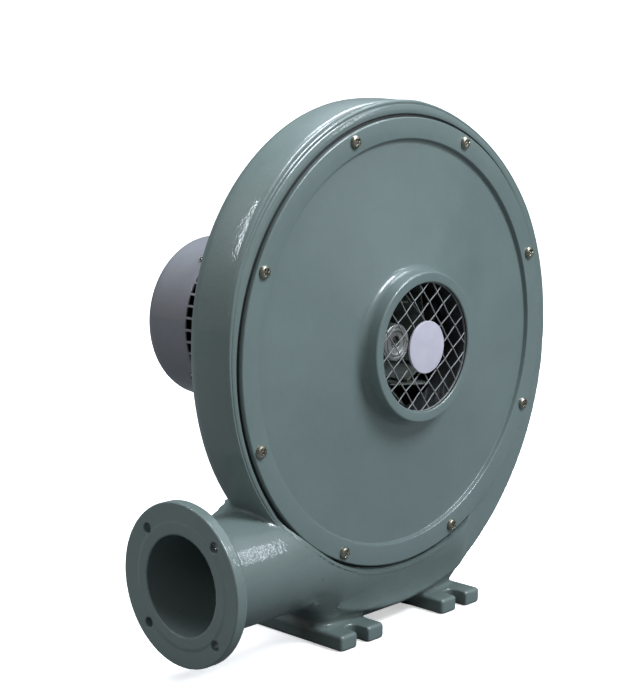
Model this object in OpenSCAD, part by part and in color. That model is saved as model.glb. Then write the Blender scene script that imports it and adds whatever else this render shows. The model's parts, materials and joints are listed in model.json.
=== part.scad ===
// Combustion-air blower: cast scroll casing on two slotted feet, dished front cover with a guarded
// inlet ring, ten-bladed impeller, and a fan-cooled flange motor on the back.
// Millimetres. The shaft lies along Y. Y = 0 is the face of the inlet ring, +Y runs towards the motor,
// +X is right as seen from the inlet, +Z is up. Air leaves towards -X.

/* [Drum] */
// Radius of the drum's outer wall
drum_r = 226; // [215:1:230]
// Y of the drum's front face, behind the inlet ring
face_y = 32; // [30:1:34]
// Depth of the drum from its front face to its back
drum_depth = 57; // [54:1:60]
// Thickness of the cast walls
wall = 6; // [5:0.5:7]
// How much the radius falls off towards the tongue
tongue_drop = 10; // [6:1:10]
// How much the radius grows towards the bottom
scroll_growth = 33; // [25:1:38]

/* [Outlet] */
// X of the outlet flange's face
outlet_x = -250; // [-254:1:-242]
// Y of the outlet's centre line
outlet_y = 60; // [59:1:62]
// Height of the outlet's centre line below the shaft
outlet_drop = 182; // [180:1:184]
// Radius of the outlet bore
outlet_bore_r = 44; // [40:0.5:45]
// Outer radius of the outlet pipe
outlet_pipe_r = 50.5; // [49:0.5:52]
// Radius of the outlet flange
flange_r = 71.5; // [70:0.5:75]
// Thickness of the outlet flange
flange_t = 12; // [8:1:15]
// Bolt circle of the outlet flange
flange_pcd = 120; // [116:1:122]
// Radius of a flange hole
flange_hole_r = 4.5; // [4:0.25:5.5]

/* [Feet] */
// Depth of the feet's soles below the shaft
foot_drop = 271; // [268:1:280]
// Thickness of a foot
foot_t = 15; // [12:1:18]
// Width of a foot
foot_w = 58; // [52:1:60]
// Length of a foot, front to back
foot_len = 140; // [136:1:150]
// X of the two feet's centre lines
foot_x = [-68.5, 74.5];
// Width of a foot's open slots
slot_w = 15; // [12:1:17]
// Depth of a foot's open slots
slot_deep = 20; // [16:1:24]

/* [Cover] */
// Radius of the front cover
cover_r = 208; // [206:1:210]
// Thickness of the cover's rim
cover_t = 5; // [4:0.5:6]
// Radius at which the recessed panel starts
panel_r = 187; // [184:1:189]
// Depth of the recess behind the rim
panel_recess = 4.5; // [3:0.5:5]
// How far the dished panel rises towards the inlet
dish_rise = 14; // [10:1:16]
// Outer radius of the inlet ring
inlet_r = 69.5; // [66:0.5:72]
// Bore radius of the inlet ring
eye_r = 59.5; // [56:0.5:60]
// Radius of the screw circle
screw_ring_r = 200; // [199:0.5:201]
// Number of cover screws
screw_count = 8; // [6:1:12]
// Angle of the first cover screw
screw_turn = 20.6; // [18:0.1:26]

/* [Guard] */
// Distance between the guard's wires
guard_pitch = 14.6; // [12:0.2:18]
// Radius of a guard wire
guard_wire_r = 0.9; // [0.7:0.1:1.2]
// Angle of the wires
guard_turn = 37; // [0:1:45]
// Radius of the disc on the guard
badge_r = 24.3; // [20:0.1:28]

/* [Impeller] */
// Outer radius of the impeller
wheel_r = 188; // [180:1:189]
// Number of blades
blade_count = 10; // [6:1:10]
// Thickness of a blade
blade_t = 2; // [1.5:0.5:3]
// Radius of the circle that the flat blades are tangent to
blade_tangent_r = 37.6; // [37:0.2:40]
// Radius of the hub
hub_r = 17.5; // [17:0.5:19]

/* [Motor] */
// Radius of the shaft at the impeller
shaft_r = 9.5; // [9:0.25:9.75]
// Radius of the motor flange
motor_flange_r = 100; // [97:1:102]
// Bolt circle of the motor flange
motor_pcd = 165; // [164:0.5:167]
// Number of cooling fins round the housing
fin_count = 36; // [24:4:40]
// Radius over the cooling fins
fin_r = 79; // [76:0.5:80]

/* [Cowl] */
// Outer radius of the fan cowl
cowl_r = 83; // [82.5:0.5:84]
// Y of the cowl's back
cowl_end_y = 301; // [300:1:306]
// Slots in each of the four groups
slots_per_group = 8; // [4:1:8]
// Angle between neighbouring slots
slot_step = 8.3; // [7.5:0.1:8.4]
// Angle of the middle of the first group
slot_turn = 172.3; // [165:0.1:180]

/* [Hidden] */
$fn = 96;

enamel = [0.42, 0.49, 0.50];
enamel_dark = [0.35, 0.38, 0.40];
bare_alu = [0.75, 0.76, 0.77];
steel = [0.62, 0.62, 0.60];
zinc = [0.72, 0.70, 0.60];
copper = [0.72, 0.42, 0.22];
brass = [0.80, 0.66, 0.35];
rubber = [0.12, 0.12, 0.12];
plastic = [0.18, 0.19, 0.20];

fit = 0.05;                          // clearance of a screw or pin in its hole
gasket_t = 1;
back_y = face_y + drum_depth;        // back of the drum
cover_back_y = face_y - gasket_t;
cover_front_y = cover_back_y - cover_t;
opening_r = 192;                     // mouth of the drum behind the cover
lip_r = 213.5;                       // inside of the raised lip round the cover
lip_w = 5;
lip_h = 3;
pocket_r = cover_r + 2;              // room for the cover where the outlet bulges forward
tongue_a = 235;                      // where the scroll starts, lower left
bore_len = 40;                       // machined length of the outlet bore
duct_step = 1.2;                     // the cast duct behind it is this much wider
bottom_a = -70;
scroll_step = 5;

skirt_front_y = 50;                  // front of the body between the feet
shoulder_front_y = 34;               // front of the body under the cover
skirt_back_y = 118;
skirt_left_x = -90;
skirt_right_x = 92;
skirt_top_z = -150;
shoulder_z = -236;
sole_gap = 5;                        // the body stays this far above the floor
foot_front_y = 15;
foot_top_z = foot_t - foot_drop;

pad_y = back_y + 12;                 // machined pad that the motor flange sits on
pad_r = 104;
spigot_r = 65;                       // register of the motor flange
spigot_h = 3.5;

nozzle_y = 31;                       // inner end of the inlet nozzle
nozzle_t = 4;
dish_t = 4;
dish_r = 80;                         // where the dish meets the inlet ring
panel_y = cover_front_y + panel_recess;
dish_y = panel_y - dish_rise;

screw_r = 3;
screw_len = 18;
screw_head_r = 5.9;
screw_head_h = 3.6;

guard_y = 4;                         // middle of the mesh
guard_offset = -1.2;
guard_frame_t = 2;
guard_room = 1.9;                    // half the width of the groove that holds the guard

shroud_eye_r = 65.5;
shroud_t = 2;
blade_front_y = 34;
blade_lead = 7;                      // how far a blade starts before its tangent point
blade_tip_y = 46;
plate_y = 76;                        // front of the backplate
plate_t = 3;
hub_front_y = 37;
hub_flange_r = 34;
hub_flange_y = 72;
shaft_front_y = 48;
bolt_recess_r = 6;

brg_od = 23.5;                       // 6204 bearing: outer radius
brg_id = 10;
brg_w = 14;
brg_front_y = 108;
brg_rear_y = 238;
ball_r = 3.7;
ball_ring_r = 16.75;
ball_count = 8;
washer_y = brg_rear_y + brg_w;       // wave washer behind the rear bearing
washer_t = 1.2;
groove_r = 4;

motor_y = pad_y;                     // front face of the motor flange
motor_flange_t = 10;
housing_y0 = 128;
housing_y1 = 234;
housing_bore_r = 58;
housing_r = 68;
housing_lip_r = 55;                  // inside of the end shields
stator_y0 = 148;
stator_y1 = 212;
stator_bore_r = 36.6;
rotor_r = 36.3;
winding_len = 14;
shaft_core_r = 12.5;
shaft_end_y = 283;
tie_ring_r = 63;
tie_r = 2.5;

cowl_t = 2;
cowl_y0 = 207;
cowl_round = 12;
slot_y0 = 215;
slot_y1 = 239;
cowl_screw_y = 247.5;
fan_y0 = 258;
fan_y1 = 288;
fan_r = 73;

box_y0 = 130;
box_y1 = 186;
box_x = 42;
box_z0 = 74;
box_z1 = 122;
box_t = 3;
lid_z1 = 131;
gland_y = 158;
gland_z = 100;

function scroll_r(a) = drum_r - tongue_drop * max(0, a - 160) / (tongue_a - 160)
    + scroll_growth * pow(max(0, 10 - a) / 90, 2);
function wrap(a) = a > tongue_a ? tongue_a : a;

// ---- helpers ----
// A cylinder along Y.
module rod_y(x, z, y0, y1, r, fn = 48)
    translate([x, y0, z]) rotate([-90, 0, 0]) cylinder(h = y1 - y0, r = r, $fn = fn);

// A cylinder along X.
module rod_x(y, z, x0, x1, r, fn = 64)
    translate([x0, y, z]) rotate([0, 90, 0]) cylinder(h = x1 - x0, r = r, $fn = fn);

// A plate whose outline is drawn in X and Z.
module slab_y(y0, y1)
    translate([0, y0, 0]) rotate([-90, 0, 0]) linear_extrude(height = y1 - y0) mirror([0, 1, 0]) children();

// A solid of revolution about the shaft: points are [radius, y].
module turned(points)
    rotate([-90, 0, 0]) rotate_extrude($fn = 120) polygon(points);

// Copies at even angles about the shaft; the angle grows from +X towards +Z.
module round_y(n, first = 0)
    for (i = [0 : n - 1]) rotate([0, -(first + 360 * i / n), 0]) children();

module tube_y(y0, y1, r_in, r_out)
    turned([[r_in, y0], [r_out, y0], [r_out, y1], [r_in, y1]]);

// ---- casing ----
module scroll_outline(inset = 0) {
    polygon([for (a = [bottom_a : scroll_step : 265])
        (scroll_r(wrap(a)) - inset) * [cos(a), sin(a)]]);
}

// Lower body under the drum, down to z.
module skirt_outline(z)
    polygon([
        [skirt_right_x, z], [skirt_right_x, -225], [0, skirt_top_z],
        [skirt_left_x, -outlet_drop], [skirt_left_x, z]
    ]);

module foot(x)
    difference() {
        translate([x - foot_w / 2, foot_front_y, -foot_drop]) cube([foot_w, foot_len, foot_t]);
        for (end = [0, 1]) {
            y = end == 0 ? foot_front_y : foot_front_y + foot_len;
            in = end == 0 ? 1 : -1;
            translate([x, y + in * (slot_deep - slot_w / 2), -foot_drop - 1])
                cylinder(h = foot_t + 2, r = slot_w / 2, $fn = 48);
            translate([x - slot_w / 2, end == 0 ? y - 1 : y - slot_deep + slot_w / 2, -foot_drop - 1])
                cube([slot_w, slot_deep - slot_w / 2 + 1, foot_t + 2]);
        }
    }

module casing_solid() {
    slab_y(face_y, back_y) scroll_outline();
    slab_y(shoulder_front_y, skirt_back_y) skirt_outline(shoulder_z);
    slab_y(skirt_front_y, skirt_back_y) skirt_outline(sole_gap - foot_drop);
    tube_y(face_y - lip_h, face_y + 1, lip_r, lip_r + lip_w);
    rod_x(outlet_y, -outlet_drop, outlet_x, 30, outlet_pipe_r, 96);
    translate([30, outlet_y, -outlet_drop]) sphere(r = outlet_pipe_r, $fn = 96);
    rod_x(outlet_y, -outlet_drop, outlet_x, outlet_x + flange_t, flange_r, 96);
    rod_y(0, 0, back_y - 1, pad_y, pad_r, 96);
    for (x = foot_x) foot(x);
    slab_y(back_y - 4, back_y + 3)
        polygon([[-140, -110], [-160, -122], [-191, -142], [-191, -165], [-140, -165]]);
}

module casing_hollow() {
    slab_y(face_y + wall, back_y - wall) scroll_outline(wall);
    rod_x(outlet_y, -outlet_drop, outlet_x - 1, outlet_x + bore_len + 0.1, outlet_bore_r, 96);
    rod_x(outlet_y, -outlet_drop, outlet_x + bore_len, -118, outlet_bore_r + duct_step, 96);
    intersection() {
        union() {
            rod_x(outlet_y, -outlet_drop, -119, 30, outlet_bore_r + duct_step, 96);
            translate([30, outlet_y, -outlet_drop]) sphere(r = outlet_bore_r + duct_step, $fn = 96);
        }
        translate([-130, face_y + wall, -260]) cube([260, 100, 160]);
    }
    rod_y(0, 0, face_y - 1, face_y + wall + 1, opening_r, 120);
    rod_y(0, 0, back_y - wall - 1, pad_y + 1, 40);
    rod_y(0, 0, pad_y - spigot_h, pad_y + 1, spigot_r + fit, 96);
}

module volute_casing()
    color(enamel) difference() {
        union() {
            difference() {
                casing_solid();
                rod_y(0, 0, 0, face_y, pocket_r, 120);
                casing_hollow();
            }
            round_y(screw_count, screw_turn) rod_y(screw_ring_r, 0, face_y + wall - 1, face_y + 18, 6.5, 32);
        }
        round_y(screw_count, screw_turn) rod_y(screw_ring_r, 0, face_y - 1, face_y + 16, screw_r + fit, 32);
        round_y(4, 45) rod_y(motor_pcd / 2, 0, pad_y - 15, pad_y + 1, 5 + fit, 32);
        translate([outlet_x, outlet_y, -outlet_drop]) rotate([0, 90, 0]) for (a = [45 : 90 : 315])
            rotate([0, 0, a]) translate([flange_pcd / 2, 0, -1])
                cylinder(h = flange_t + 2, r = flange_hole_r, $fn = 32);
    }

// ---- front cover ----
module front_cover()
    color(enamel) difference() {
        turned([
            [eye_r, 0], [inlet_r, 0], [inlet_r, dish_y - 5], [inlet_r + 1.5, dish_y - 2], [inlet_r + 5, dish_y - 0.5],
            [dish_r, dish_y], [panel_r, panel_y], [panel_r + 2, cover_front_y], [cover_r, cover_front_y],
            [cover_r, cover_back_y], [opening_r - 0.3, cover_back_y], [opening_r - 0.3, panel_y + dish_t],
            [panel_r, panel_y + dish_t], [dish_r, dish_y + dish_t], [eye_r + nozzle_t, dish_y + dish_t],
            [eye_r + nozzle_t, nozzle_y], [eye_r, nozzle_y], [eye_r, guard_y + guard_room],
            [eye_r + 1.6, guard_y + guard_room], [eye_r + 1.6, guard_y - guard_room], [eye_r, guard_y - guard_room]
        ]);
        round_y(screw_count, screw_turn)
            rod_y(screw_ring_r, 0, cover_front_y - 1, face_y, screw_r + 0.3, 32);
    }

module cover_gasket()
    color(rubber) difference() {
        tube_y(cover_back_y, face_y, opening_r, cover_r);
        round_y(screw_count, screw_turn)
            rod_y(screw_ring_r, 0, cover_back_y - 1, face_y + 1, screw_r + 0.3, 32);
    }

// A pan-head screw along +Y with a cross recess; its head's underside is at y = 0.
module pan_screw(r, len, head_r, head_h)
    difference() {
        turned([
            [0, -head_h], [head_r * 0.55, -head_h], [head_r * 0.9, -head_h * 0.72], [head_r, -head_h * 0.35],
            [head_r, 0], [r, 0], [r, len - 1], [r - 1, len], [0, len]
        ]);
        for (a = [0, 90]) rotate([0, a + 20, 0])
            translate([-head_r * 0.5, -head_h - 0.1, -head_r * 0.1])
                cube([head_r, head_h * 0.5, head_r * 0.2]);
    }

module cover_screws()
    color(zinc) round_y(screw_count, screw_turn)
        translate([screw_ring_r, cover_front_y, 0]) pan_screw(screw_r, screw_len, screw_head_r, screw_head_h);

// ---- inlet guard ----
module guard_wires(turn, y) {
    reach = eye_r + guard_frame_t / 2 - 0.2;
    for (i = [-3 : 4]) {
        d = guard_offset + i * guard_pitch;
        half = sqrt(reach * reach - d * d);
        rotate([0, -turn, 0]) rod_x(y, d, -half, half, guard_wire_r, 16);
    }
}

module inlet_guard()
    color(bare_alu) {
        tube_y(guard_y - guard_frame_t / 2, guard_y + guard_frame_t / 2, eye_r - 0.6, eye_r + 1.4);
        guard_wires(guard_turn, guard_y - guard_wire_r * 0.8);
        guard_wires(guard_turn + 90, guard_y + guard_wire_r * 0.8);
    }

module guard_badge()
    color([0.80, 0.79, 0.84])
        turned([[0, 0], [badge_r - 0.6, 0], [badge_r, 0.6], [badge_r, 2.3], [0, 2.3]]);

// ---- impeller ----
module shaft_keyway(y0, y1)
    translate([-3, y0, shaft_r - 3.5]) cube([6, y1 - y0, 6.3]);

module impeller_hub()
    color(bare_alu) difference() {
        turned([
            [0, hub_front_y], [hub_r - 1, hub_front_y], [hub_r, hub_front_y + 1], [hub_r, hub_flange_y],
            [hub_flange_r, hub_flange_y], [hub_flange_r, plate_y], [hub_r, plate_y], [hub_r, plate_y + plate_t],
            [0, plate_y + plate_t]
        ]);
        rod_y(0, 0, hub_front_y - 1, shaft_front_y + 1, bolt_recess_r);
        rod_y(0, 0, shaft_front_y, plate_y + plate_t + 1, shaft_r);
        shaft_keyway(shaft_front_y + 4, plate_y + plate_t + 1);
        rivet_holes(hub_flange_y - 1, plate_y + 1);
    }

module rivet_holes(y0, y1)
    round_y(8, 22.5) rod_y(26, 0, y0, y1, 2.5, 32);

module impeller_backplate()
    color(enamel_dark) difference() {
        tube_y(plate_y, plate_y + plate_t, hub_r, wheel_r);
        rivet_holes(plate_y - 1, plate_y + plate_t + 1);
    }

module impeller_rivets()
    color(steel) round_y(8, 22.5) {
        rod_y(26, 0, hub_flange_y - 1.5, plate_y + plate_t + 1.2, 2.5, 32);
        rod_y(26, 0, hub_flange_y - 1.5, hub_flange_y, 4.2, 32);
        rod_y(26, 0, plate_y + plate_t, plate_y + plate_t + 1.2, 4.2, 32);
    }

// Flat blades, tangent to a circle round the hub and trimmed between backplate and shroud.
module impeller_blades()
    color(enamel_dark) intersection() {
        for (i = [0 : blade_count - 1]) rotate([0, 360 * i / blade_count, 0])
            rotate([0, 7.1, 0]) translate([-blade_lead, blade_front_y, -blade_tangent_r - blade_t])
                cube([wheel_r + 10, plate_y - blade_front_y, blade_t]);
        turned([
            [36, blade_front_y], [shroud_eye_r, blade_front_y], [wheel_r, blade_tip_y],
            [wheel_r, plate_y], [36, plate_y]
        ]);
    }

module impeller_shroud()
    color(enamel_dark) turned([
        [shroud_eye_r, blade_front_y - 7], [shroud_eye_r + shroud_t, blade_front_y - 7],
        [shroud_eye_r + shroud_t, blade_front_y - shroud_t], [wheel_r, blade_tip_y - shroud_t],
        [wheel_r, blade_tip_y], [shroud_eye_r, blade_front_y]
    ]);

module impeller_washer()
    color(steel) tube_y(shaft_front_y - 2, shaft_front_y, 3 + fit, bolt_recess_r - fit);

module impeller_bolt()
    color(steel) difference() {
        union() {
            rod_y(0, 0, shaft_front_y - 7, shaft_front_y - 2, 5);
            rod_y(0, 0, shaft_front_y - 3, shaft_front_y + 16, 3);
        }
        rod_y(0, 0, shaft_front_y - 8, shaft_front_y - 4.5, 2.9, 6);
    }

module shaft_key()
    color(steel) translate([-3, shaft_front_y + 4, shaft_r - 3.5]) cube([6, 24, 6]);

// ---- shaft, rotor and stator ----
module motor_shaft()
    color(steel) difference() {
        turned([
            [0, shaft_front_y], [shaft_r - 0.8, shaft_front_y], [shaft_r, shaft_front_y + 0.8],
            [shaft_r, brg_front_y], [brg_id, brg_front_y], [brg_id, brg_front_y + brg_w],
            [shaft_core_r, brg_front_y + brg_w], [shaft_core_r, brg_rear_y], [brg_id, brg_rear_y],
            [brg_id, brg_rear_y + brg_w], [8, brg_rear_y + brg_w], [8, fan_y0 + 19],
            [7.4, fan_y0 + 19], [7.4, fan_y0 + 20.1], [8, fan_y0 + 20.1], [8, shaft_end_y], [0, shaft_end_y]
        ]);
        shaft_keyway(shaft_front_y + 4, shaft_front_y + 28);
        rod_y(0, 0, shaft_front_y - 1, shaft_front_y + 18, 3 + fit);
    }

module rotor_core()
    color(steel) tube_y(stator_y0, stator_y1, shaft_core_r, rotor_r);

module rotor_end_rings()
    color(bare_alu) for (side = [0, 1]) {
        y0 = side == 0 ? stator_y0 - 8 : stator_y1;
        tube_y(y0, y0 + 8, 24, rotor_r - 1);
        vane_y = side == 0 ? y0 - 7 : y0 + 7.5;
        round_y(8) translate([27, vane_y, -1.2]) cube([6, 7.5, 2.4]);
    }

module stator_core()
    color(steel) difference() {
        tube_y(stator_y0, stator_y1, stator_bore_r, housing_bore_r);
        round_y(24) translate([40, stator_y0 - 1, -2]) cube([13, stator_y1 - stator_y0 + 2, 4]);
    }

module stator_windings()
    color(copper) {
        round_y(24) translate([40.2, stator_y0 - 1, -1.8]) cube([12.5, stator_y1 - stator_y0 + 2, 3.6]);
        for (y = [stator_y0 - winding_len, stator_y1]) turned([
            [40, y], [42, y - (y < stator_y0 ? 2 : 0)], [51, y - (y < stator_y0 ? 2 : 0)], [53, y],
            [53, y + winding_len], [51, y + winding_len + (y < stator_y0 ? 0 : 2)],
            [42, y + winding_len + (y < stator_y0 ? 0 : 2)], [40, y + winding_len]
        ]);
    }

module motor_housing()
    color(enamel) difference() {
        union() {
            tube_y(housing_y0, housing_y1, housing_bore_r, housing_r);
            round_y(fin_count, 5) translate([housing_r - 1, housing_y0, -1.25])
                cube([fin_r - housing_r + 1, housing_y1 - housing_y0, 2.5]);
            difference() {
                translate([-box_x, box_y0, 55]) cube([2 * box_x, box_y1 - box_y0, box_z0 - 55]);
                rod_y(0, 0, housing_y0, housing_y1, housing_r - 1, 96);
            }
        }
        translate([-16, box_y0 + 16, 50]) cube([32, 24, box_z0 - 49]);
        translate([-box_x, box_y0, box_z0]) cube([2 * box_x, box_y1 - box_y0, 20]);
        round_y(4, 45) rod_y(tie_ring_r, 0, housing_y0 - 1, housing_y1 + 1, tie_r + 0.2, 32);
        box_corners() translate([0, 0, box_z0 - 9]) cylinder(h = 10, r = 2 + fit, $fn = 32);
    }

// ---- end shields ----
module front_end_shield()
    color(enamel) difference() {
        turned([
            [14, motor_y - spigot_h], [spigot_r, motor_y - spigot_h], [spigot_r, motor_y],
            [motor_flange_r, motor_y], [motor_flange_r, motor_y + motor_flange_t],
            [72, motor_y + motor_flange_t], [72, housing_y0], [housing_bore_r, housing_y0],
            [housing_bore_r, housing_y0 + 2.5], [housing_lip_r, housing_y0 + 2.5],
            [housing_lip_r, motor_y + motor_flange_t], [brg_od + 5, motor_y + motor_flange_t],
            [brg_od + 5, brg_front_y + brg_w], [brg_od, brg_front_y + brg_w], [brg_od, brg_front_y],
            [14, brg_front_y]
        ]);
        rod_y(0, 0, motor_y - spigot_h - 1, motor_y + 4, 17.5);
        round_y(4, 45) rod_y(motor_pcd / 2, 0, motor_y - 1, motor_y + motor_flange_t + 1, 5.6, 32);
        round_y(4, 45) rod_y(tie_ring_r, 0, motor_y + 8, housing_y0 + 1, tie_r + fit, 32);
    }

module rear_end_shield() {
    y0 = housing_y1;
    color(enamel) difference() {
        union() {
            turned([
                [11, washer_y + washer_t], [11, y0 + 21.5], [46, y0 + 21.5], [housing_r, y0 + 14],
                [housing_r, y0], [housing_bore_r, y0], [housing_bore_r, y0 - 2.5],
                [housing_lip_r, y0 - 2.5], [housing_lip_r, y0 + 8], [brg_od + 5, y0 + 8],
                [brg_od + 5, y0 + 3], [brg_od, y0 + 3], [brg_od, washer_y + washer_t]
            ]);
            round_y(4, slot_turn - 45) translate([housing_r - 3, cowl_screw_y - 6, -6.5])
                cube([cowl_r - cowl_t - fit - housing_r + 2, 12, 13]);
        }
        round_y(4, slot_turn - 45) rod_x(cowl_screw_y, 0, housing_r, cowl_r, 2 + fit, 32);
        round_y(4, 45) rod_y(tie_ring_r, 0, y0 - 1, y0 + 22, tie_r + 0.2, 32);
        round_y(4, 45) rod_y(tie_ring_r, 0, y0 + 10, y0 + 22, 4.6, 32);
    }
}

module tie_rods()
    color(zinc) round_y(4, 45) {
        rod_y(tie_ring_r, 0, motor_y + 9, housing_y1 + 10, tie_r, 32);
        rod_y(tie_ring_r, 0, housing_y1 + 10, housing_y1 + 14, 4.4, 6);
    }

// ---- bearings: y0 is the front face ----
module bearing_outer(y0)
    color(steel) difference() {
        tube_y(y0, y0 + brg_w, 19.6, brg_od);
        rotate([-90, 0, 0]) translate([0, 0, y0 + brg_w / 2]) rotate_extrude($fn = 96)
            translate([ball_ring_r, 0]) circle(r = groove_r, $fn = 48);
    }

module bearing_inner(y0)
    color(steel) difference() {
        tube_y(y0, y0 + brg_w, brg_id, 13.9);
        rotate([-90, 0, 0]) translate([0, 0, y0 + brg_w / 2]) rotate_extrude($fn = 96)
            translate([ball_ring_r, 0]) circle(r = groove_r, $fn = 48);
    }

module bearing_balls(y0)
    color(brass) union() {
        tube_y(y0 + brg_w / 2 - 1.5, y0 + brg_w / 2 + 1.5, 15.6, 17.9);
        round_y(ball_count) translate([ball_ring_r, y0 + brg_w / 2, 0]) sphere(r = ball_r, $fn = 32);
    }

module front_bearing_outer() bearing_outer(brg_front_y);
module front_bearing_inner() bearing_inner(brg_front_y);
module front_bearing_balls() bearing_balls(brg_front_y);
module rear_bearing_outer() bearing_outer(brg_rear_y);
module rear_bearing_inner() bearing_inner(brg_rear_y);
module rear_bearing_balls() bearing_balls(brg_rear_y);

module wave_washer()
    color(steel) tube_y(washer_y, washer_y + washer_t, 19.8, brg_od - 0.2);

module shaft_seal()
    color(rubber) tube_y(motor_y - spigot_h, motor_y + 3.9, shaft_r + fit, 17.4);

// ---- motor flange bolts ----
module motor_bolts()
    color(zinc) round_y(4, 45) {
        rod_y(motor_pcd / 2, 0, motor_y - 14, motor_y + motor_flange_t + 3, 5, 32);
        rod_y(motor_pcd / 2, 0, motor_y + motor_flange_t + 2, motor_y + motor_flange_t + 8.4, 9.2, 6);
    }

module motor_washers()
    color(zinc) round_y(4, 45) translate([motor_pcd / 2, 0, 0])
        tube_y(motor_y + motor_flange_t, motor_y + motor_flange_t + 2, 5 + fit, 10);

// ---- cooling fan and cowl ----
module cooling_fan()
    color(plastic) difference() {
        union() {
            tube_y(fan_y0, fan_y0 + 18.9, 8, 15);
            tube_y(fan_y0, fan_y0 + 2.5, 8, fan_r);
            round_y(9) translate([14, fan_y0 + 1, -1]) cube([fan_r - 16, 26, 2]);
        }
        tube_y(fan_y0 + 18.9, fan_y1, 0, 15.2);
    }

module fan_circlip()
    color(steel) difference() {
        tube_y(fan_y0 + 19, fan_y0 + 20, 7.45, 11);
        translate([-2, fan_y0 + 18, 0]) cube([4, 4, 14]);
    }

module fan_cowl() {
    color([0.42, 0.44, 0.47]) difference() {
        turned(concat(
            [[cowl_r - cowl_t, cowl_y0], [cowl_r, cowl_y0]],
            [for (a = [0 : 15 : 90]) [cowl_r - cowl_round + cowl_round * cos(a),
                cowl_end_y - cowl_round + cowl_round * sin(a)]],
            [[14, cowl_end_y], [14, cowl_end_y - cowl_t]],
            [for (a = [90 : -15 : 0]) [cowl_r - cowl_round + (cowl_round - cowl_t) * cos(a),
                cowl_end_y - cowl_round + (cowl_round - cowl_t) * sin(a)]]
        ));
        for (g = [0 : 3], i = [0 : slots_per_group - 1])
            rotate([0, -(slot_turn + 90 * g + (i - (slots_per_group - 1) / 2) * slot_step), 0])
                translate([cowl_r - 8, slot_y0, -4.7]) cube([16, slot_y1 - slot_y0, 9.4]);
        round_y(4, slot_turn - 45) rod_x(cowl_screw_y, 0, cowl_r - 8, cowl_r + 4, 2.3, 32);
        for (ring = [0 : 3]) {
            r = 24 + ring * 11;
            n = 8 + 4 * ring;
            round_y(n, ring * 7) translate([r, cowl_end_y - 6, -(PI * r / n - 2.2)])
                cube([6.5, 12, 2 * (PI * r / n - 2.2)]);
        }
    }
    color([0.42, 0.44, 0.47]) rod_y(0, 0, cowl_end_y - cowl_t, cowl_end_y, 14);
}

module cowl_screws()
    color(zinc) round_y(4, slot_turn - 45)
        translate([cowl_r, cowl_screw_y, 0]) rotate([0, 0, 90]) pan_screw(2, 12, 3.9, 2.4);

// ---- terminal box on top of the motor ----
module terminal_box()
    color(enamel_dark) difference() {
        union() {
            difference() {
                translate([-box_x, box_y0, box_z0]) cube([2 * box_x, box_y1 - box_y0, box_z1 - box_z0]);
                translate([-box_x + box_t, box_y0 + box_t, box_z0 + box_t])
                    cube([2 * (box_x - box_t), box_y1 - box_y0 - 2 * box_t, box_z1 - box_z0]);
            }
            lid_corners() translate([-4.6, -4.6, box_z1 - 16]) cube([9.2, 9.2, 16]);
        }
        lid_corners() translate([0, 0, box_z1 - 12]) cylinder(h = 13, r = 2 + fit, $fn = 32);
        box_corners() translate([0, 0, box_z0 - 1]) cylinder(h = box_t + 2, r = 2.2, $fn = 32);
        translate([-16, box_y0 + 16, box_z0 - 1]) cube([32, 24, box_t + 2]);
        rod_x(gland_y, gland_z, box_x - box_t - 1, box_x + 1, 8 + fit, 48);
    }

// Screws through the box's floor.
module box_corners()
    for (x = [-26, 26], y = [box_y0 + 7, box_y1 - 7]) translate([x, y, 0]) children();

module terminal_gasket()
    color(rubber) translate([0, 0, box_z1]) linear_extrude(height = 1) difference() {
        translate([-box_x, box_y0]) square([2 * box_x, box_y1 - box_y0]);
        difference() {
            translate([-box_x + box_t, box_y0 + box_t])
                square([2 * (box_x - box_t), box_y1 - box_y0 - 2 * box_t]);
            lid_corners() translate([-4.6, -4.6]) square(9.2);
        }
        lid_corners() circle(r = 2.3, $fn = 32);
    }

// Corners of the lid's screw pattern.
module lid_corners()
    for (x = [-1, 1], y = [box_y0 + 7.5, box_y1 - 7.5]) translate([x * (box_x - 7.5), y, 0]) children();

module terminal_lid()
    color(enamel_dark) difference() {
        union() {
            translate([-box_x, box_y0, box_z1 + 1]) cube([2 * box_x, box_y1 - box_y0, 4]);
            translate([-box_x + 4, box_y0 + 4, box_z1 + 5])
                cube([2 * box_x - 8, box_y1 - box_y0 - 8, lid_z1 - box_z1 - 5]);
        }
        translate([-box_x + 13, box_y0 + 13, box_z1])
            cube([2 * box_x - 26, box_y1 - box_y0 - 26, lid_z1 - box_z1 - 3]);
        lid_corners() translate([0, 0, box_z1]) cylinder(h = 20, r = 2.1, $fn = 32);
        lid_corners() translate([0, 0, lid_z1 - 2.4]) cylinder(h = 5, r = 4.2, $fn = 32);
    }

// A cheese-head screw along Z: its head sits on z.
module cheese_screw(z, len)
    difference() {
        union() {
            translate([0, 0, z - len]) cylinder(h = len + 1, r = 2, $fn = 32);
            translate([0, 0, z]) cylinder(h = 2.6, r = 3.8, $fn = 32);
        }
        translate([-5, -0.5, z + 1.6]) cube([10, 1, 2]);
    }

module lid_screws()
    color(zinc) lid_corners() cheese_screw(lid_z1 - 2.4, lid_z1 - box_z1 + 6);

module box_screws()
    color(zinc) box_corners() cheese_screw(box_z0 + box_t, box_t + 8);

module terminal_block()
    color(plastic) difference() {
        translate([-30, box_y0 + 12, box_z0 + box_t]) cube([44, 32, 10]);
        translate([-16, box_y0 + 15, box_z0 + box_t - 1]) cube([16, 26, 6]);
        block_studs() translate([0, 0, box_z0 + box_t + 4]) cylinder(h = 7, r = 2.05, $fn = 32);
    }

module block_studs()
    for (x = [-24, -8, 8], y = [box_y0 + 18, box_y0 + 38]) translate([x, y, 0]) children();

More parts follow.
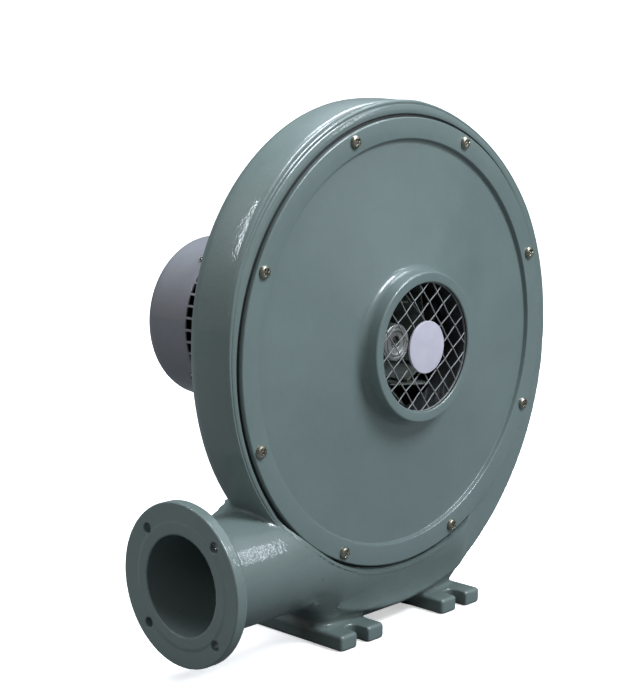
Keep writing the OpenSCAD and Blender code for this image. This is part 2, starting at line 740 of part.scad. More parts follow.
module terminal_studs()
    color(brass) block_studs() {
        translate([0, 0, box_z0 + box_t + 4]) cylinder(h = 15, r = 2, $fn = 32);
        translate([0, 0, box_z0 + box_t + 10]) cylinder(h = 3.2, r = 4, $fn = 6);
    }

module cable_gland()
    color(bare_alu) difference() {
        union() {
            rod_x(gland_y, gland_z, box_x - box_t - 5, box_x, 8, 48);
            rod_x(gland_y, gland_z, box_x - box_t - 5, box_x - box_t, 11, 6);
            rod_x(gland_y, gland_z, box_x, box_x + 6, 12, 6);
            rod_x(gland_y, gland_z, box_x + 6, box_x + 16, 9.5, 48);
        }
        rod_x(gland_y, gland_z, box_x - box_t - 6, box_x + 17, 5.5, 48);
        rod_x(gland_y, gland_z, box_x + 8, box_x + 17, 7.5, 48);
    }

module gland_seal()
    color(rubber) difference() {
        rod_x(gland_y, gland_z, box_x + 8, box_x + 18, 7.45, 48);
        rod_x(gland_y, gland_z, box_x + 7, box_x + 19, 4.5, 48);
    }

module gland_cap()
    color(bare_alu) difference() {
        union() {
            rod_x(gland_y, gland_z, box_x + 8, box_x + 17, 12.2, 6);
            rod_x(gland_y, gland_z, box_x + 17, box_x + 22, 10.5, 48);
        }
        rod_x(gland_y, gland_z, box_x + 7, box_x + 18.2, 9.55, 48);
        rod_x(gland_y, gland_z, box_x + 18, box_x + 23, 5.5, 48);
    }

volute_casing();
front_cover();
cover_gasket();
cover_screws();
inlet_guard();
guard_badge();
impeller_hub();
impeller_backplate();
impeller_blades();
impeller_shroud();
impeller_rivets();
impeller_bolt();
impeller_washer();
shaft_key();
motor_shaft();
rotor_core();
rotor_end_rings();
stator_core();
stator_windings();
motor_housing();
front_end_shield();
rear_end_shield();
front_bearing_outer();
front_bearing_inner();
front_bearing_balls();
rear_bearing_outer();
rear_bearing_inner();
rear_bearing_balls();
wave_washer();
shaft_seal();
motor_bolts();
motor_washers();
tie_rods();
cooling_fan();
fan_circlip();
fan_cowl();
cowl_screws();
terminal_box();
terminal_gasket();
terminal_lid();
lid_screws();
terminal_block();
terminal_studs();
cable_gland();
gland_seal();
gland_cap();
box_screws();
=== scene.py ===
import json
import math
import bmesh
import bpy
import numpy as np
from mathutils import Matrix, Vector


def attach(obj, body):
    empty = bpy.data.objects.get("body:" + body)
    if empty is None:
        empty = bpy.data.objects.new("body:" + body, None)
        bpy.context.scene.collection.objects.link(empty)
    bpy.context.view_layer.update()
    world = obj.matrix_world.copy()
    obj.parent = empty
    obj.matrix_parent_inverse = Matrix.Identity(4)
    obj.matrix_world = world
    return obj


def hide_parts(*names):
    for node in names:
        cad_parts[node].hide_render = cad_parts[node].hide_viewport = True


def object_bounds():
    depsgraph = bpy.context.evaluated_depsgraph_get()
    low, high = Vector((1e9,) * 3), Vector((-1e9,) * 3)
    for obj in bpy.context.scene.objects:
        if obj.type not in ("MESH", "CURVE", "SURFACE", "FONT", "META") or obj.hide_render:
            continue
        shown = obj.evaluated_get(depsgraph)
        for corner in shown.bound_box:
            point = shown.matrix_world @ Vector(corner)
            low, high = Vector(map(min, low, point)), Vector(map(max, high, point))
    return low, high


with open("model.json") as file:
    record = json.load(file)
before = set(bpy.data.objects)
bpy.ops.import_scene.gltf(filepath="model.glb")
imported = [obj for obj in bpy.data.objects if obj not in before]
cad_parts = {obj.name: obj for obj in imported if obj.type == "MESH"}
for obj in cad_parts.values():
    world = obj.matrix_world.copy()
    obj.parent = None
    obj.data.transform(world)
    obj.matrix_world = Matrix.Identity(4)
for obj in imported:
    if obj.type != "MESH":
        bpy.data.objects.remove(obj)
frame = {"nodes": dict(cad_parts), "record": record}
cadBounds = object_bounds()
mounts = {m["name"]: m for m in frame["record"]["mounts"]}
print("frame loaded:", len(frame["nodes"]), "nodes")


def linear(hexColour):
    # sRGB hex to linear RGBA: the standard curve, channel by channel
    c = np.array([int(hexColour[i:i + 2], 16) for i in (1, 3, 5)]) / 255
    c = np.where(c <= 0.04045, c / 12.92, ((c + 0.055) / 1.055) ** 2.4)
    return (*c.tolist(), 1.0)


def node(tree, kind, links=(), **settings):
    # adds one node; settings are sockets by name (or attributes), links are (socket, from node, from socket)
    n = tree.nodes.new(kind)
    for key, value in settings.items():
        name = key.replace("_", " ")
        if name in n.inputs:
            n.inputs[name].default_value = value
        else:
            setattr(n, key, value)
    for socket, source, output in links:
        tree.links.new(source.outputs[output], n.inputs[socket])
    return n


def ramp(tree, source, output, stops):
    # a colour ramp fed by one output; stops are (position, colour)
    r = node(tree, "ShaderNodeValToRGB", [("Fac", source, output)])
    for i, (position, colour) in enumerate(stops):
        e = r.color_ramp.elements[i] if i < 2 else r.color_ramp.elements.new(position)
        e.position, e.color = position, colour
    return r


def startMaterial(name):
    m = bpy.data.materials.new(name)
    m.use_nodes = True
    tree = m.node_tree
    shader = tree.nodes["Principled BSDF"]
    place = node(tree, "ShaderNodeTexCoord")
    return m, tree, shader, place


def perMetre(millimetres):
    # noise scale whose features are about this many millimetres across
    return 1000.0 / millimetres


def glossEnamel(name, colour, shade, peel=0.22, grime=0.5):
    # Sprayed gloss enamel over a sand casting: a clear, slightly wavy skin (orange peel about 3 mm across)
    # over the long soft unevenness of the casting, with a few dust nibs and a little handling dullness.
    m, tree, shader, place = startMaterial(name)
    drift = node(tree, "ShaderNodeTexNoise", [("Vector", place, "Object")], Scale=perMetre(70), Detail=4.0, Roughness=0.6)
    fine = node(tree, "ShaderNodeTexNoise", [("Vector", place, "Object")], Scale=perMetre(6), Detail=5.0, Roughness=0.7)
    tone = ramp(tree, drift, "Fac", [(0.32, linear(shade)), (0.68, linear(colour))])
    speck = ramp(tree, fine, "Fac", [(0.2, (0.86, 0.87, 0.88, 1)), (0.55, (1, 1, 1, 1))])
    mixed = node(tree, "ShaderNodeMix", data_type="RGBA", blend_type="MULTIPLY")
    mixed.inputs["Factor"].default_value = 0.45
    tree.links.new(tone.outputs["Color"], mixed.inputs["A"])
    tree.links.new(speck.outputs["Color"], mixed.inputs["B"])
    tree.links.new(mixed.outputs["Result"], shader.inputs["Base Color"])
    dull = ramp(tree, drift, "Fac", [(0.25, (0.40, 0.40, 0.40, 1)), (0.8, (0.40 + 0.15 * grime,) * 3 + (1,))])
    tree.links.new(dull.outputs["Color"], shader.inputs["Roughness"])
    swell = node(tree, "ShaderNodeTexNoise", [("Vector", place, "Object")], Scale=perMetre(24), Detail=2.0)
    skin = node(tree, "ShaderNodeTexNoise", [("Vector", place, "Object")], Scale=perMetre(3.2), Detail=2.0, Roughness=0.45)
    nibs = node(tree, "ShaderNodeTexVoronoi", [("Vector", place, "Object")], Scale=perMetre(28), Randomness=1.0)
    nibTop = ramp(tree, nibs, "Distance", [(0.0, (1, 1, 1, 1)), (0.035, (0, 0, 0, 1))])
    low = node(tree, "ShaderNodeBump", [("Height", swell, "Fac")], Strength=0.35, Distance=0.0008)
    mid = node(tree, "ShaderNodeBump", [("Height", skin, "Fac"), ("Normal", low, "Normal")], Strength=peel, Distance=0.0004)
    top = node(tree, "ShaderNodeBump", [("Height", nibTop, "Color"), ("Normal", mid, "Normal")], Strength=0.35, Distance=0.0005)
    tree.links.new(top.outputs["Normal"], shader.inputs["Normal"])
    tree.links.new(mid.outputs["Normal"], shader.inputs["Coat Normal"])
    shader.inputs["IOR"].default_value = 1.5
    shader.inputs["Coat Weight"].default_value = 0.6
    shader.inputs["Coat Roughness"].default_value = 0.06
    shader.inputs["Coat IOR"].default_value = 1.5
    return m


def platedSteel(name, colour, dark, rough=0.32, metal=1.0):
    # Zinc-plated and yellow-passivated steel: a metal with an uneven straw tint and dull patches
    m, tree, shader, place = startMaterial(name)
    tint = node(tree, "ShaderNodeTexNoise", [("Vector", place, "Object")], Scale=perMetre(5), Detail=4.0, Roughness=0.65)
    tone = ramp(tree, tint, "Fac", [(0.35, linear(dark)), (0.65, linear(colour))])
    tree.links.new(tone.outputs["Color"], shader.inputs["Base Color"])
    patch = ramp(tree, tint, "Fac", [(0.3, (rough + 0.18,) * 3 + (1,)), (0.7, (rough,) * 3 + (1,))])
    tree.links.new(patch.outputs["Color"], shader.inputs["Roughness"])
    grain = node(tree, "ShaderNodeTexNoise", [("Vector", place, "Object")], Scale=perMetre(0.7), Detail=3.0)
    bump = node(tree, "ShaderNodeBump", [("Height", grain, "Fac")], Strength=0.2, Distance=0.0002)
    tree.links.new(bump.outputs["Normal"], shader.inputs["Normal"])
    shader.inputs["Metallic"].default_value = metal
    return m


def turnedMetal(name, colour, dark, rough=0.3, ring=0.8):
    # Turned metal: fine rings about the shaft, drawn 0.8 mm apart so that they show
    m, tree, shader, place = startMaterial(name)
    rings = node(tree, "ShaderNodeTexWave", [("Vector", place, "Object")], wave_type="RINGS", rings_direction="Y",
                 Scale=perMetre(ring) / 20, Distortion=1.5, Detail=2.0)
    cloud = node(tree, "ShaderNodeTexNoise", [("Vector", place, "Object")], Scale=perMetre(9), Detail=4.0)
    tone = ramp(tree, cloud, "Fac", [(0.3, linear(dark)), (0.7, linear(colour))])
    tree.links.new(tone.outputs["Color"], shader.inputs["Base Color"])
    patch = ramp(tree, cloud, "Fac", [(0.3, (rough + 0.12,) * 3 + (1,)), (0.7, (rough,) * 3 + (1,))])
    tree.links.new(patch.outputs["Color"], shader.inputs["Roughness"])
    bump = node(tree, "ShaderNodeBump", [("Height", rings, "Fac")], Strength=0.12, Distance=0.0002)
    tree.links.new(bump.outputs["Normal"], shader.inputs["Normal"])
    shader.inputs["Metallic"].default_value = 1.0
    return m


def castAluminium(name, colour, dark, rough=0.45):
    # Bare sand-cast aluminium: a pebbled skin about 1.5 mm across, grey in the hollows
    m, tree, shader, place = startMaterial(name)
    pebble = node(tree, "ShaderNodeTexNoise", [("Vector", place, "Object")], Scale=perMetre(1.5), Detail=5.0, Roughness=0.6)
    cloud = node(tree, "ShaderNodeTexNoise", [("Vector", place, "Object")], Scale=perMetre(18), Detail=3.0)
    tone = ramp(tree, cloud, "Fac", [(0.3, linear(dark)), (0.7, linear(colour))])
    tree.links.new(tone.outputs["Color"], shader.inputs["Base Color"])
    bump = node(tree, "ShaderNodeBump", [("Height", pebble, "Fac")], Strength=0.35, Distance=0.0004)
    tree.links.new(bump.outputs["Normal"], shader.inputs["Normal"])
    shader.inputs["Metallic"].default_value = 0.6
    shader.inputs["Roughness"].default_value = rough
    return m


def rolledSheet(name, colour, dark, rough=0.4):
    # Rolled aluminium sheet, greyed by dust: long faint streaks along one way and a dusty film
    m, tree, shader, place = startMaterial(name)
    stretch = node(tree, "ShaderNodeMapping", [("Vector", place, "Object")], Scale=(1.0, 1.0, 9.0))
    streak = node(tree, "ShaderNodeTexNoise", [("Vector", stretch, "Vector")], Scale=perMetre(9), Detail=5.0, Roughness=0.6)
    tone = ramp(tree, streak, "Fac", [(0.3, linear(dark)), (0.7, linear(colour))])
    tree.links.new(tone.outputs["Color"], shader.inputs["Base Color"])
    patch = ramp(tree, streak, "Fac", [(0.3, (rough + 0.2,) * 3 + (1,)), (0.7, (rough,) * 3 + (1,))])
    tree.links.new(patch.outputs["Color"], shader.inputs["Roughness"])
    bump = node(tree, "ShaderNodeBump", [("Height", streak, "Fac")], Strength=0.15, Distance=0.0003)
    tree.links.new(bump.outputs["Normal"], shader.inputs["Normal"])
    shader.inputs["Metallic"].default_value = 0.75
    return m


def moulded(name, colour, dark, rough=0.5, grain=0.8, ior=1.5):
    # Moulded plastic or rubber: an even colour with a fine spark-eroded grain
    m, tree, shader, place = startMaterial(name)
    pores = node(tree, "ShaderNodeTexNoise", [("Vector", place, "Object")], Scale=perMetre(grain), Detail=3.0)
    cloud = node(tree, "ShaderNodeTexNoise", [("Vector", place, "Object")], Scale=perMetre(15), Detail=3.0)
    tone = ramp(tree, cloud, "Fac", [(0.35, linear(dark)), (0.65, linear(colour))])
    tree.links.new(tone.outputs["Color"], shader.inputs["Base Color"])
    bump = node(tree, "ShaderNodeBump", [("Height", pores, "Fac")], Strength=0.15, Distance=0.0002)
    tree.links.new(bump.outputs["Normal"], shader.inputs["Normal"])
    shader.inputs["Roughness"].default_value = rough
    shader.inputs["IOR"].default_value = ior
    return m


def lacqueredCopper(name):
    # Enamelled copper wire, wound: a wave 1 mm apart stands for the turns
    m, tree, shader, place = startMaterial(name)
    turns = node(tree, "ShaderNodeTexWave", [("Vector", place, "Object")], bands_direction="Y", Scale=perMetre(1) / 20,
                 Distortion=2.0, Detail=1.0)
    tone = ramp(tree, turns, "Fac", [(0.2, linear("#6b3413")), (0.8, linear("#c0702f"))])
    tree.links.new(tone.outputs["Color"], shader.inputs["Base Color"])
    bump = node(tree, "ShaderNodeBump", [("Height", turns, "Fac")], Strength=0.6, Distance=0.0004)
    tree.links.new(bump.outputs["Normal"], shader.inputs["Normal"])
    shader.inputs["Metallic"].default_value = 0.6
    shader.inputs["Roughness"].default_value = 0.35
    shader.inputs["Coat Weight"].default_value = 0.6
    return m


finishes = {
    "greyEnamel": glossEnamel("grey-green gloss enamel on casting", "#64716f", "#5e6b69", peel=0.3),
    "coverEnamel": glossEnamel("grey-green gloss enamel on machined cover", "#647270", "#5f6c6b", peel=0.08),
    "cowlEnamel": glossEnamel("lavender-grey enamel on pressed steel", "#717277", "#6b6c71", peel=0.1),
    "zinc": platedSteel("yellow-passivated zinc plate", "#b0aea2", "#7f7b6b"),
    "brightZinc": platedSteel("dull zinc wire", "#8b8d8d", "#747677", rough=0.5, metal=0.35),
    "hubAluminium": castAluminium("cast aluminium hub", "#bfc0be", "#989996"),
    # painted shade: near-black enamel for the eye's inner wall, so that it reads as the shaded inside of the inlet
    "paintedShadeEnamel": glossEnamel("near-black enamel as painted shade inside the inlet", "#2b2c2d", "#242526", peel=0.05),
    "castAluminium": castAluminium("sand-cast aluminium", "#b0b2b2", "#8a8c8c"),
    "sheetAluminium": rolledSheet("dusty rolled aluminium", "#8d958f", "#6c746e"),
    "bladeAluminium": rolledSheet("rolled aluminium blade", "#9ca39d", "#78807a", rough=0.35),
    "steel": turnedMetal("turned steel", "#b4b4b0", "#8b8b86"),
    "brass": turnedMetal("turned brass", "#c8a35a", "#9a7a3c", rough=0.28),
    "copper": lacqueredCopper("lacquered copper wire"),
    "rubber": moulded("black nitrile rubber", "#17181a", "#101112", rough=0.6),
    "blackPlastic": moulded("black glass-filled nylon", "#1c1d1f", "#151617", rough=0.45),
    "disc": moulded("white vinyl disc", "#b5b2bd", "#adaab6", rough=0.42, grain=2.5),
}
print("materials made:", len(finishes))


def gridFaces(rows, columns, wrapRows=False, wrapColumns=False, first=0):
    # quads between neighbouring points of a rows by columns grid; a wrapped way joins its end to its start
    i, j = np.meshgrid(
        np.arange(rows if wrapRows else rows - 1), np.arange(columns if wrapColumns else columns - 1), indexing="ij")
    a, b = (i + 1) % rows, (j + 1) % columns
    return first + np.stack([i * columns + j, a * columns + j, a * columns + b, i * columns + b], -1).reshape(-1, 4)


def addPiece(name, parts, material, body, replacing=(), smooth=35, recalc=True):
    # parts are (points in millimetres, faces); joined, doubles merged, normals turned outwards
    count, points, faces = 0, [], []
    for p, f in parts:
        p = np.asarray(p, float).reshape(-1, 3)
        points.append(p)
        faces.append(np.asarray(f) + count)
        count += len(p)
    mesh = bpy.data.meshes.new(name)
    mesh.from_pydata(np.vstack(points) / 1000, [], [q for f in faces for q in f.tolist()])
    bm = bmesh.new()
    bm.from_mesh(mesh)
    bmesh.ops.remove_doubles(bm, verts=bm.verts, dist=2e-6)
    bmesh.ops.dissolve_degenerate(bm, edges=bm.edges, dist=1e-7)
    if recalc:
        bmesh.ops.recalc_face_normals(bm, faces=bm.faces)
    bm.to_mesh(mesh)
    bm.free()
    mesh.shade_smooth()
    mesh.set_sharp_from_angle(angle=math.radians(smooth))
    piece = bpy.data.objects.new(name, mesh)
    bpy.context.scene.collection.objects.link(piece)
    piece.data.materials.append(finishes[material])
    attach(piece, body)
    if replacing:
        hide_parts(*replacing)
    return piece


def filleted(corners, steps=5):
    # A profile of (radius, y, fillet): each corner becomes an arc tangent to both sides, cut back by
    # fillet / tan(half the corner's angle)
    pts = np.array([c[:2] for c in corners], float)
    rounds = np.array([c[2] if len(c) > 2 else 0.0 for c in corners])
    out = []
    for k, p in enumerate(pts):
        if rounds[k] <= 0:
            out.append(p[None])
            continue
        a, b = pts[k - 1] - p, pts[(k + 1) % len(pts)] - p
        la, lb = np.linalg.norm(a), np.linalg.norm(b)
        a, b = a / la, b / lb
        half = math.acos(np.clip(a @ b, -1, 1)) / 2
        cut = min(rounds[k] / math.tan(half), 0.49 * la, 0.49 * lb)
        radius = cut * math.tan(half)
        centre = p + (a + b) / np.linalg.norm(a + b) * (radius / math.sin(half))
        start, end = p + a * cut - centre, p + b * cut - centre
        sweep = math.pi - 2 * half
        t = np.linspace(0, 1, steps + 1)[:, None]
        out.append(centre + (np.sin((1 - t) * sweep) * start + np.sin(t * sweep) * end) / math.sin(sweep))
    return np.vstack(out)


def lathe(profile, turns=192, closed=True):
    # a closed profile of (radius, y) carried round the shaft; point = (r cos a, y, r sin a)
    a = np.linspace(0, 2 * np.pi, turns, endpoint=False)[:, None]
    r, y = profile[:, 0][None], profile[:, 1][None]
    pts = np.stack([r * np.cos(a), y + 0 * a, r * np.sin(a)], -1)
    return pts, gridFaces(turns, len(profile), True, closed)


def moved(part, x=0.0, y=0.0, z=0.0):
    return part[0] + np.array([x, y, z]), part[1]


def turnedAbout(part, degrees):
    # turns a part about the shaft, from +X towards +Z
    a = math.radians(degrees)
    m = np.array([[math.cos(a), 0, -math.sin(a)], [0, 1, 0], [math.sin(a), 0, math.cos(a)]])
    return part[0] @ m.T, part[1]


def tube(path, radius, sides=12):
    # a circle carried along a path; its frame is the path's direction crossed with a fixed side vector
    d = np.gradient(path, axis=0)
    d /= np.linalg.norm(d, axis=1, keepdims=True)
    side = np.cross(d, [0.0, 1.0, 0.0])
    side /= np.linalg.norm(side, axis=1, keepdims=True)
    up = np.cross(side, d)
    a = np.linspace(0, 2 * np.pi, sides, endpoint=False)[None, :, None]
    pts = path[:, None] + radius * (np.cos(a) * side[:, None] + np.sin(a) * up[:, None])
    ends = np.concatenate([path[:1, None].repeat(sides, 1), pts, path[-1:, None].repeat(sides, 1)])
    return ends, gridFaces(len(ends), sides, False, True)


def softened(name, nodeName, material, body, width=0.6, segments=2, angle=35):
    # a copy of a CAD part with its loose triangles merged, flat faces joined and edges rounded
    source = frame["nodes"][nodeName]
    mesh = source.data.copy()
    bm = bmesh.new()
    bm.from_mesh(mesh)
    bmesh.ops.remove_doubles(bm, verts=bm.verts, dist=2e-6)
    bmesh.ops.dissolve_limit(bm, angle_limit=math.radians(0.4), verts=bm.verts, edges=bm.edges)
    bm.to_mesh(mesh)
    bm.free()
    mesh.materials.clear()
    mesh.materials.append(finishes[material])
    piece = bpy.data.objects.new(name, mesh)
    bpy.context.scene.collection.objects.link(piece)
    mesh.shade_smooth()
    mesh.set_sharp_from_angle(angle=math.radians(angle))
    if width:
        bevel = piece.modifiers.new("roundedEdges", "BEVEL")
        bevel.width = width / 1000
        bevel.segments = segments
        bevel.limit_method = "ANGLE"
        bevel.angle_limit = math.radians(angle)
        bevel.harden_normals = True
    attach(piece, body)
    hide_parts(nodeName)
    return piece


casing = {
    "drumR": 223.5, "frontY": 32.0, "backY": 89.0, "wall": 6.0,
    "frontRound": 3.0, "backRound": 20.0,
    "tongueDrop": 9.5, "growth": 36.0, "growthEnd": 252.0, "growthStart": 10.0,
    # unevenness of the drum: (height, angle, spread in degrees)
    "swells": ((3.4, 130, 35), (-4.0, 60, 30), (-3.6, 180, 24), (2.5, -15, 50), (1.6, 95, 25)),
    "crownY": 63.0, "crownCurve": 0.0024, "crownHeight": 2.3,
    "outletX": mounts["outlet_flange"]["pos_m"][0] * 1000, "outletY": mounts["outlet_flange"]["pos_m"][1] * 1000,
    "outletZ": mounts["outlet_flange"]["pos_m"][2] * 1000, "pipeR": 50.5, "boreR": mounts["outlet_bore"]["dims"]["r_mm"],
    "soleZ": mounts["base"]["pos_m"][2] * 1000, "bodyLeft": -90.0, "bodyRight": 96.0, 
    "footX": (-68.5, 74.5), "footW": 58.0, "footFront": 15.0, "footBack": 155.0, "footT": 15.0,
    "slotW": 15.0, "slotDeep": 20.0, "padR": 104.0, "padY": 101.0, "openingR": 192.0,
}


def smoothMin(a, b, k):
    # the smaller of two, with a soft dip of size k where they are nearly equal
    h = np.maximum(k - np.abs(a - b), 0) / k
    return np.minimum(a, b) - h * h * k / 4


def roundMax(a, b, r):
    # the overlap of two solids with its outer edge rounded to radius r
    return np.minimum(-r, np.maximum(a, b)) + np.hypot(np.maximum(a + r, 0), np.maximum(b + r, 0))


def roundMin(a, b, r):
    # two solids joined with a fillet of radius r
    return -roundMax(-a, -b, r)


def ease(t):
    t = np.clip(t, 0, 1)
    return t * t * (3 - 2 * t)


def scrollRadius(x, z):
    # radius of the drum: round, drawn in towards the tongue at lower left, growing clockwise round the bottom,
    # a little full at upper left and a little flat at upper right
    c = casing
    a = np.degrees(np.arctan2(z, x))
    a = np.where(a < -110, a + 360, a)
    r = c["drumR"] - c["tongueDrop"] * np.clip((a - 150) / 85, 0, 1) ** 1.4
    r = r + c["growth"] * (np.clip(c["growthStart"] - a, 0, 120) / 90) ** 2
    for height, middle, spread in c["swells"]:
        r = r + height * np.exp(-((a - middle) / spread) ** 2)
    return np.minimum(r, c["growthEnd"])


def roundedBox(p, low, high, r):
    # distance to a box with all its edges rounded to radius r
    middle, half = (np.array(high) + low) / 2, (np.array(high) - low) / 2 - r
    q = np.abs(p - middle) - half
    return np.linalg.norm(np.maximum(q, 0), axis=-1) + np.minimum(q.max(-1), 0) - r


def ellipse(u, v, a, b):
    # near distance to an ellipse with half axes a and b
    k = np.sqrt((u / a) ** 2 + (v / b) ** 2) + 1e-9
    g = np.sqrt((u / a ** 2) ** 2 + (v / b ** 2) ** 2) + 1e-9
    return k * (k - 1) / g


def castingField(p, room=True):
    # Signed distance to the casting, negative inside. Drum, duct, body and feet are joined with fillets, and
    # the scroll chamber, the duct's bore, the cover's mouth and the shaft hole are taken out.
    c = casing
    x, y, z = p[..., 0], p[..., 1], p[..., 2]
    r = np.hypot(x, z)
    # the drum's side is slightly barrelled, less so at its top and on the right
    crown = c["crownCurve"] * (y - c["crownY"]) ** 2 - c["crownHeight"] * (1 - np.exp(-(x / 70) ** 2) * (z > 0))
    edge = r - scrollRadius(x, z) + crown * (1 - ease((x - 20) / 130))
    drum = roundMax(roundMax(edge, y - c["backY"], c["backRound"]), c["frontY"] - y, c["frontRound"])
    # duct: a round pipe from the flange that turns into a deeper oval under the drum
    t = ease((x + 170) / 170)
    tall, deep = c["pipeR"] + 10 * t, c["pipeR"] - 7 * t
    duct = ellipse(z - (c["outletZ"] - 4 * t), y - (c["outletY"] + 14 * t), tall, deep)
    duct = roundMax(roundMax(duct, x - c["bodyRight"], 20), c["outletX"] + 6 - x, 1)
    # body: an oval bowl under the drum, cut off just above the floor
    body = ellipse(z + 192, y - 75, 78, 43)
    body = roundMax(body, c["soleZ"] + 5 - z, 4)
    body = roundMax(roundMax(body, c["bodyLeft"] - x, 12), x - c["bodyRight"] - 0.12 * (z + 230), 6)
    body = roundMax(body, z + 140, 6)
    web = roundMax(np.maximum(np.abs(y - 83.5) - 8, (z + 127 - 0.667 * (x + 167)) * 0.832), -202 - x, 2)
    web = np.maximum(np.maximum(web, -170 - z), x + 140)
    pad = roundMax(r - c["padR"], y - c["padY"], 2.5)
    pad = np.maximum(pad, c["backY"] - 4 - y)
    solid = smoothMin(drum, web, 3)
    solid = roundMin(smoothMin(duct, body, 34), solid, 5)
    solid = roundMin(solid, pad, 6)
    for fx in c["footX"]:
        foot = roundedBox(p, (fx - c["footW"] / 2, c["footFront"], c["soleZ"]),
                          (fx + c["footW"] / 2, c["footBack"], c["soleZ"] + c["footT"]), 3.2)
        solid = roundMin(solid, foot, 8)
    for fx in c["footX"]:
        for end, inward in ((c["footFront"], 1), (c["footBack"], -1)):
            centre = end + inward * (c["slotDeep"] - c["slotW"] / 2)
            along = np.maximum((y - centre) * inward, 0)
            slot = np.hypot(x - fx, along) - c["slotW"] / 2
            slot = np.maximum(slot, z - c["soleZ"] - c["footT"] - 6)
            solid = roundMax(solid, -slot, 1.8)
    # hollows
    w = c["wall"]
    middleY, halfDepth = (c["frontY"] + c["backY"]) / 2, (c["backY"] - c["frontY"]) / 2
    chamber = roundMax(edge + w + 6, np.abs(y - middleY) - halfDepth + w, 4)
    bore = np.hypot(z - c["outletZ"], y - c["outletY"]) - c["boreR"]
    bore = roundMax(bore, x - 30, 20)
    innerBore = np.maximum(bore, np.where(x > -122, c["frontY"] + w - y, -99))
    mouth = np.maximum(r - c["openingR"], y - c["frontY"] - w - 1)
    shaftHole = np.maximum(r - 40, c["backY"] - w - 1 - y)
    register = np.maximum(r - 65, c["padY"] - 3.5 - y)
    coverRoom = np.maximum(r - 213.0, y - c["frontY"])
    for hollow, soft in ((chamber, 1), (innerBore, 3), (mouth, 1), (shaftHole, 1), (register, 0.5)):
        solid = roundMax(solid, -hollow, soft)
    return roundMax(solid, -coverRoom, 0.5) if room else solid


def fieldNormal(field, p, h=0.3):
    # slope of the field by central differences
    e = np.eye(3) * h
    return np.stack([field(p + e[k]) - field(p - e[k]) for k in range(3)], -1) / (2 * h)


def fieldSurface(field, xs, ys, zs, pulls=6):
    # Surface of a field on a box grid: one point in each cell that the surface crosses, at the middle of
    # its edge crossings, a quad round each grid edge that changes sign, then every point is pulled onto
    # the surface along the field's slope.
    grid = np.stack(np.meshgrid(xs, ys, zs, indexing="ij"), -1)
    f = field(grid)
    inside = f < 0
    cells = tuple(n - 1 for n in f.shape)
    total, count = np.zeros(cells + (3,)), np.zeros(cells)
    for axis in range(3):
        lo = [slice(None)] * 3
        hi = [slice(None)] * 3
        lo[axis], hi[axis] = slice(0, -1), slice(1, None)
        f0, f1 = f[tuple(lo)], f[tuple(hi)]
        cross = (f0 < 0) != (f1 < 0)
        t = np.where(cross, f0 / np.where(cross, f0 - f1, 1), 0)
        point = grid[tuple(lo)] + t[..., None] * (grid[tuple(hi)] - grid[tuple(lo)])
        others = [k for k in range(3) if k != axis]
        for da in (0, 1):
            for db in (0, 1):
                pick = [slice(None)] * 3
                pick[others[0]] = slice(da, da + cells[others[0]])
                pick[others[1]] = slice(db, db + cells[others[1]])
                pick = tuple(pick)
                total += np.where(cross[pick][..., None], point[pick], 0)
                count += cross[pick]
    used = count > 0
    index = np.full(cells, -1)
    index[used] = np.arange(used.sum())
    points = total[used] / count[used][:, None]
    faces = []
    for axis in range(3):
        lo = [slice(None)] * 3
        hi = [slice(None)] * 3
        lo[axis], hi[axis] = slice(0, -1), slice(1, None)
        a, b = inside[tuple(lo)], inside[tuple(hi)]
        at = np.argwhere(a != b)
        others = [k for k in range(3) if k != axis]
        for k in others:
            at = at[(at[:, k] > 0) & (at[:, k] < cells[k])]
        out = a[tuple(at.T)]
        corners = []
        for da, db in ((-1, -1), (0, -1), (0, 0), (-1, 0)):
            q = at.copy()
            q[:, others[0]] += da
            q[:, others[1]] += db
            corners.append(index[tuple(q.T)])
        quad = np.stack(corners, -1)
        if axis == 1:
            out = ~out
        quad[~out] = quad[~out][:, ::-1]
        faces.append(quad)
    step = min(np.diff(xs).min(), np.diff(ys).min(), np.diff(zs).min())
    for _ in range(pulls):
        g = fieldNormal(field, points)
        move = field(points)[:, None] * g / np.maximum((g * g).sum(-1, keepdims=True), 0.2)
        length = np.linalg.norm(move, axis=-1, keepdims=True)
        points = points - move * np.minimum(1, 0.8 * step / np.maximum(length, 1e-9))
    return points, np.vstack(faces)


def addFieldPiece(name, field, xs, ys, zs, material, body, replacing):
    # the field's surface as a piece, shaded with the field's own slope
    points, faces = fieldSurface(field, xs, ys, zs)
    points = np.clip(points, np.array(cadBounds[0]) * 1000, np.array(cadBounds[1]) * 1000)
    mesh = bpy.data.meshes.new(name)
    mesh.from_pydata(points / 1000, [], faces.tolist())
    mesh.shade_smooth()
    g = fieldNormal(field, points)
    g /= np.maximum(np.linalg.norm(g, axis=-1, keepdims=True), 1e-9)
    mesh.normals_split_custom_set_from_vertices(g.tolist())
    piece = bpy.data.objects.new(name, mesh)
    bpy.context.scene.collection.objects.link(piece)
    piece.data.materials.append(finishes[material])
    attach(piece, body)
    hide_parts(*replacing)
    print(name, "faces:", len(faces))
    return piece


def graded(low, high, coarse, fine, zones):
    # grid lines from low to high: steps of fine inside the zones, coarse outside
    marks = [low]
    while marks[-1] < high:
        here = marks[-1]
        near = any(a - coarse < here < b for a, b in zones)
        marks.append(here + (fine if near else coarse))
    return np.array(marks)


footZones = [(fx - casing["footW"] / 2 - 3, fx + casing["footW"] / 2 + 3) for fx in casing["footX"]]
castingBody = addFieldPiece(
    "castingBody", castingField,
    graded(casing["outletX"] + 3, 262, 4.2, 2.4, footZones),
    graded(3, 162, 3.6, 2.2, [(10, 40), (84, 104), (130, 158)]),
    graded(casing["soleZ"] - 5, 236, 4.2, 2.4, [(casing["soleZ"] - 5, casing["soleZ"] + 22)]),
    "greyEnamel", "stator", ["volute_casing"])

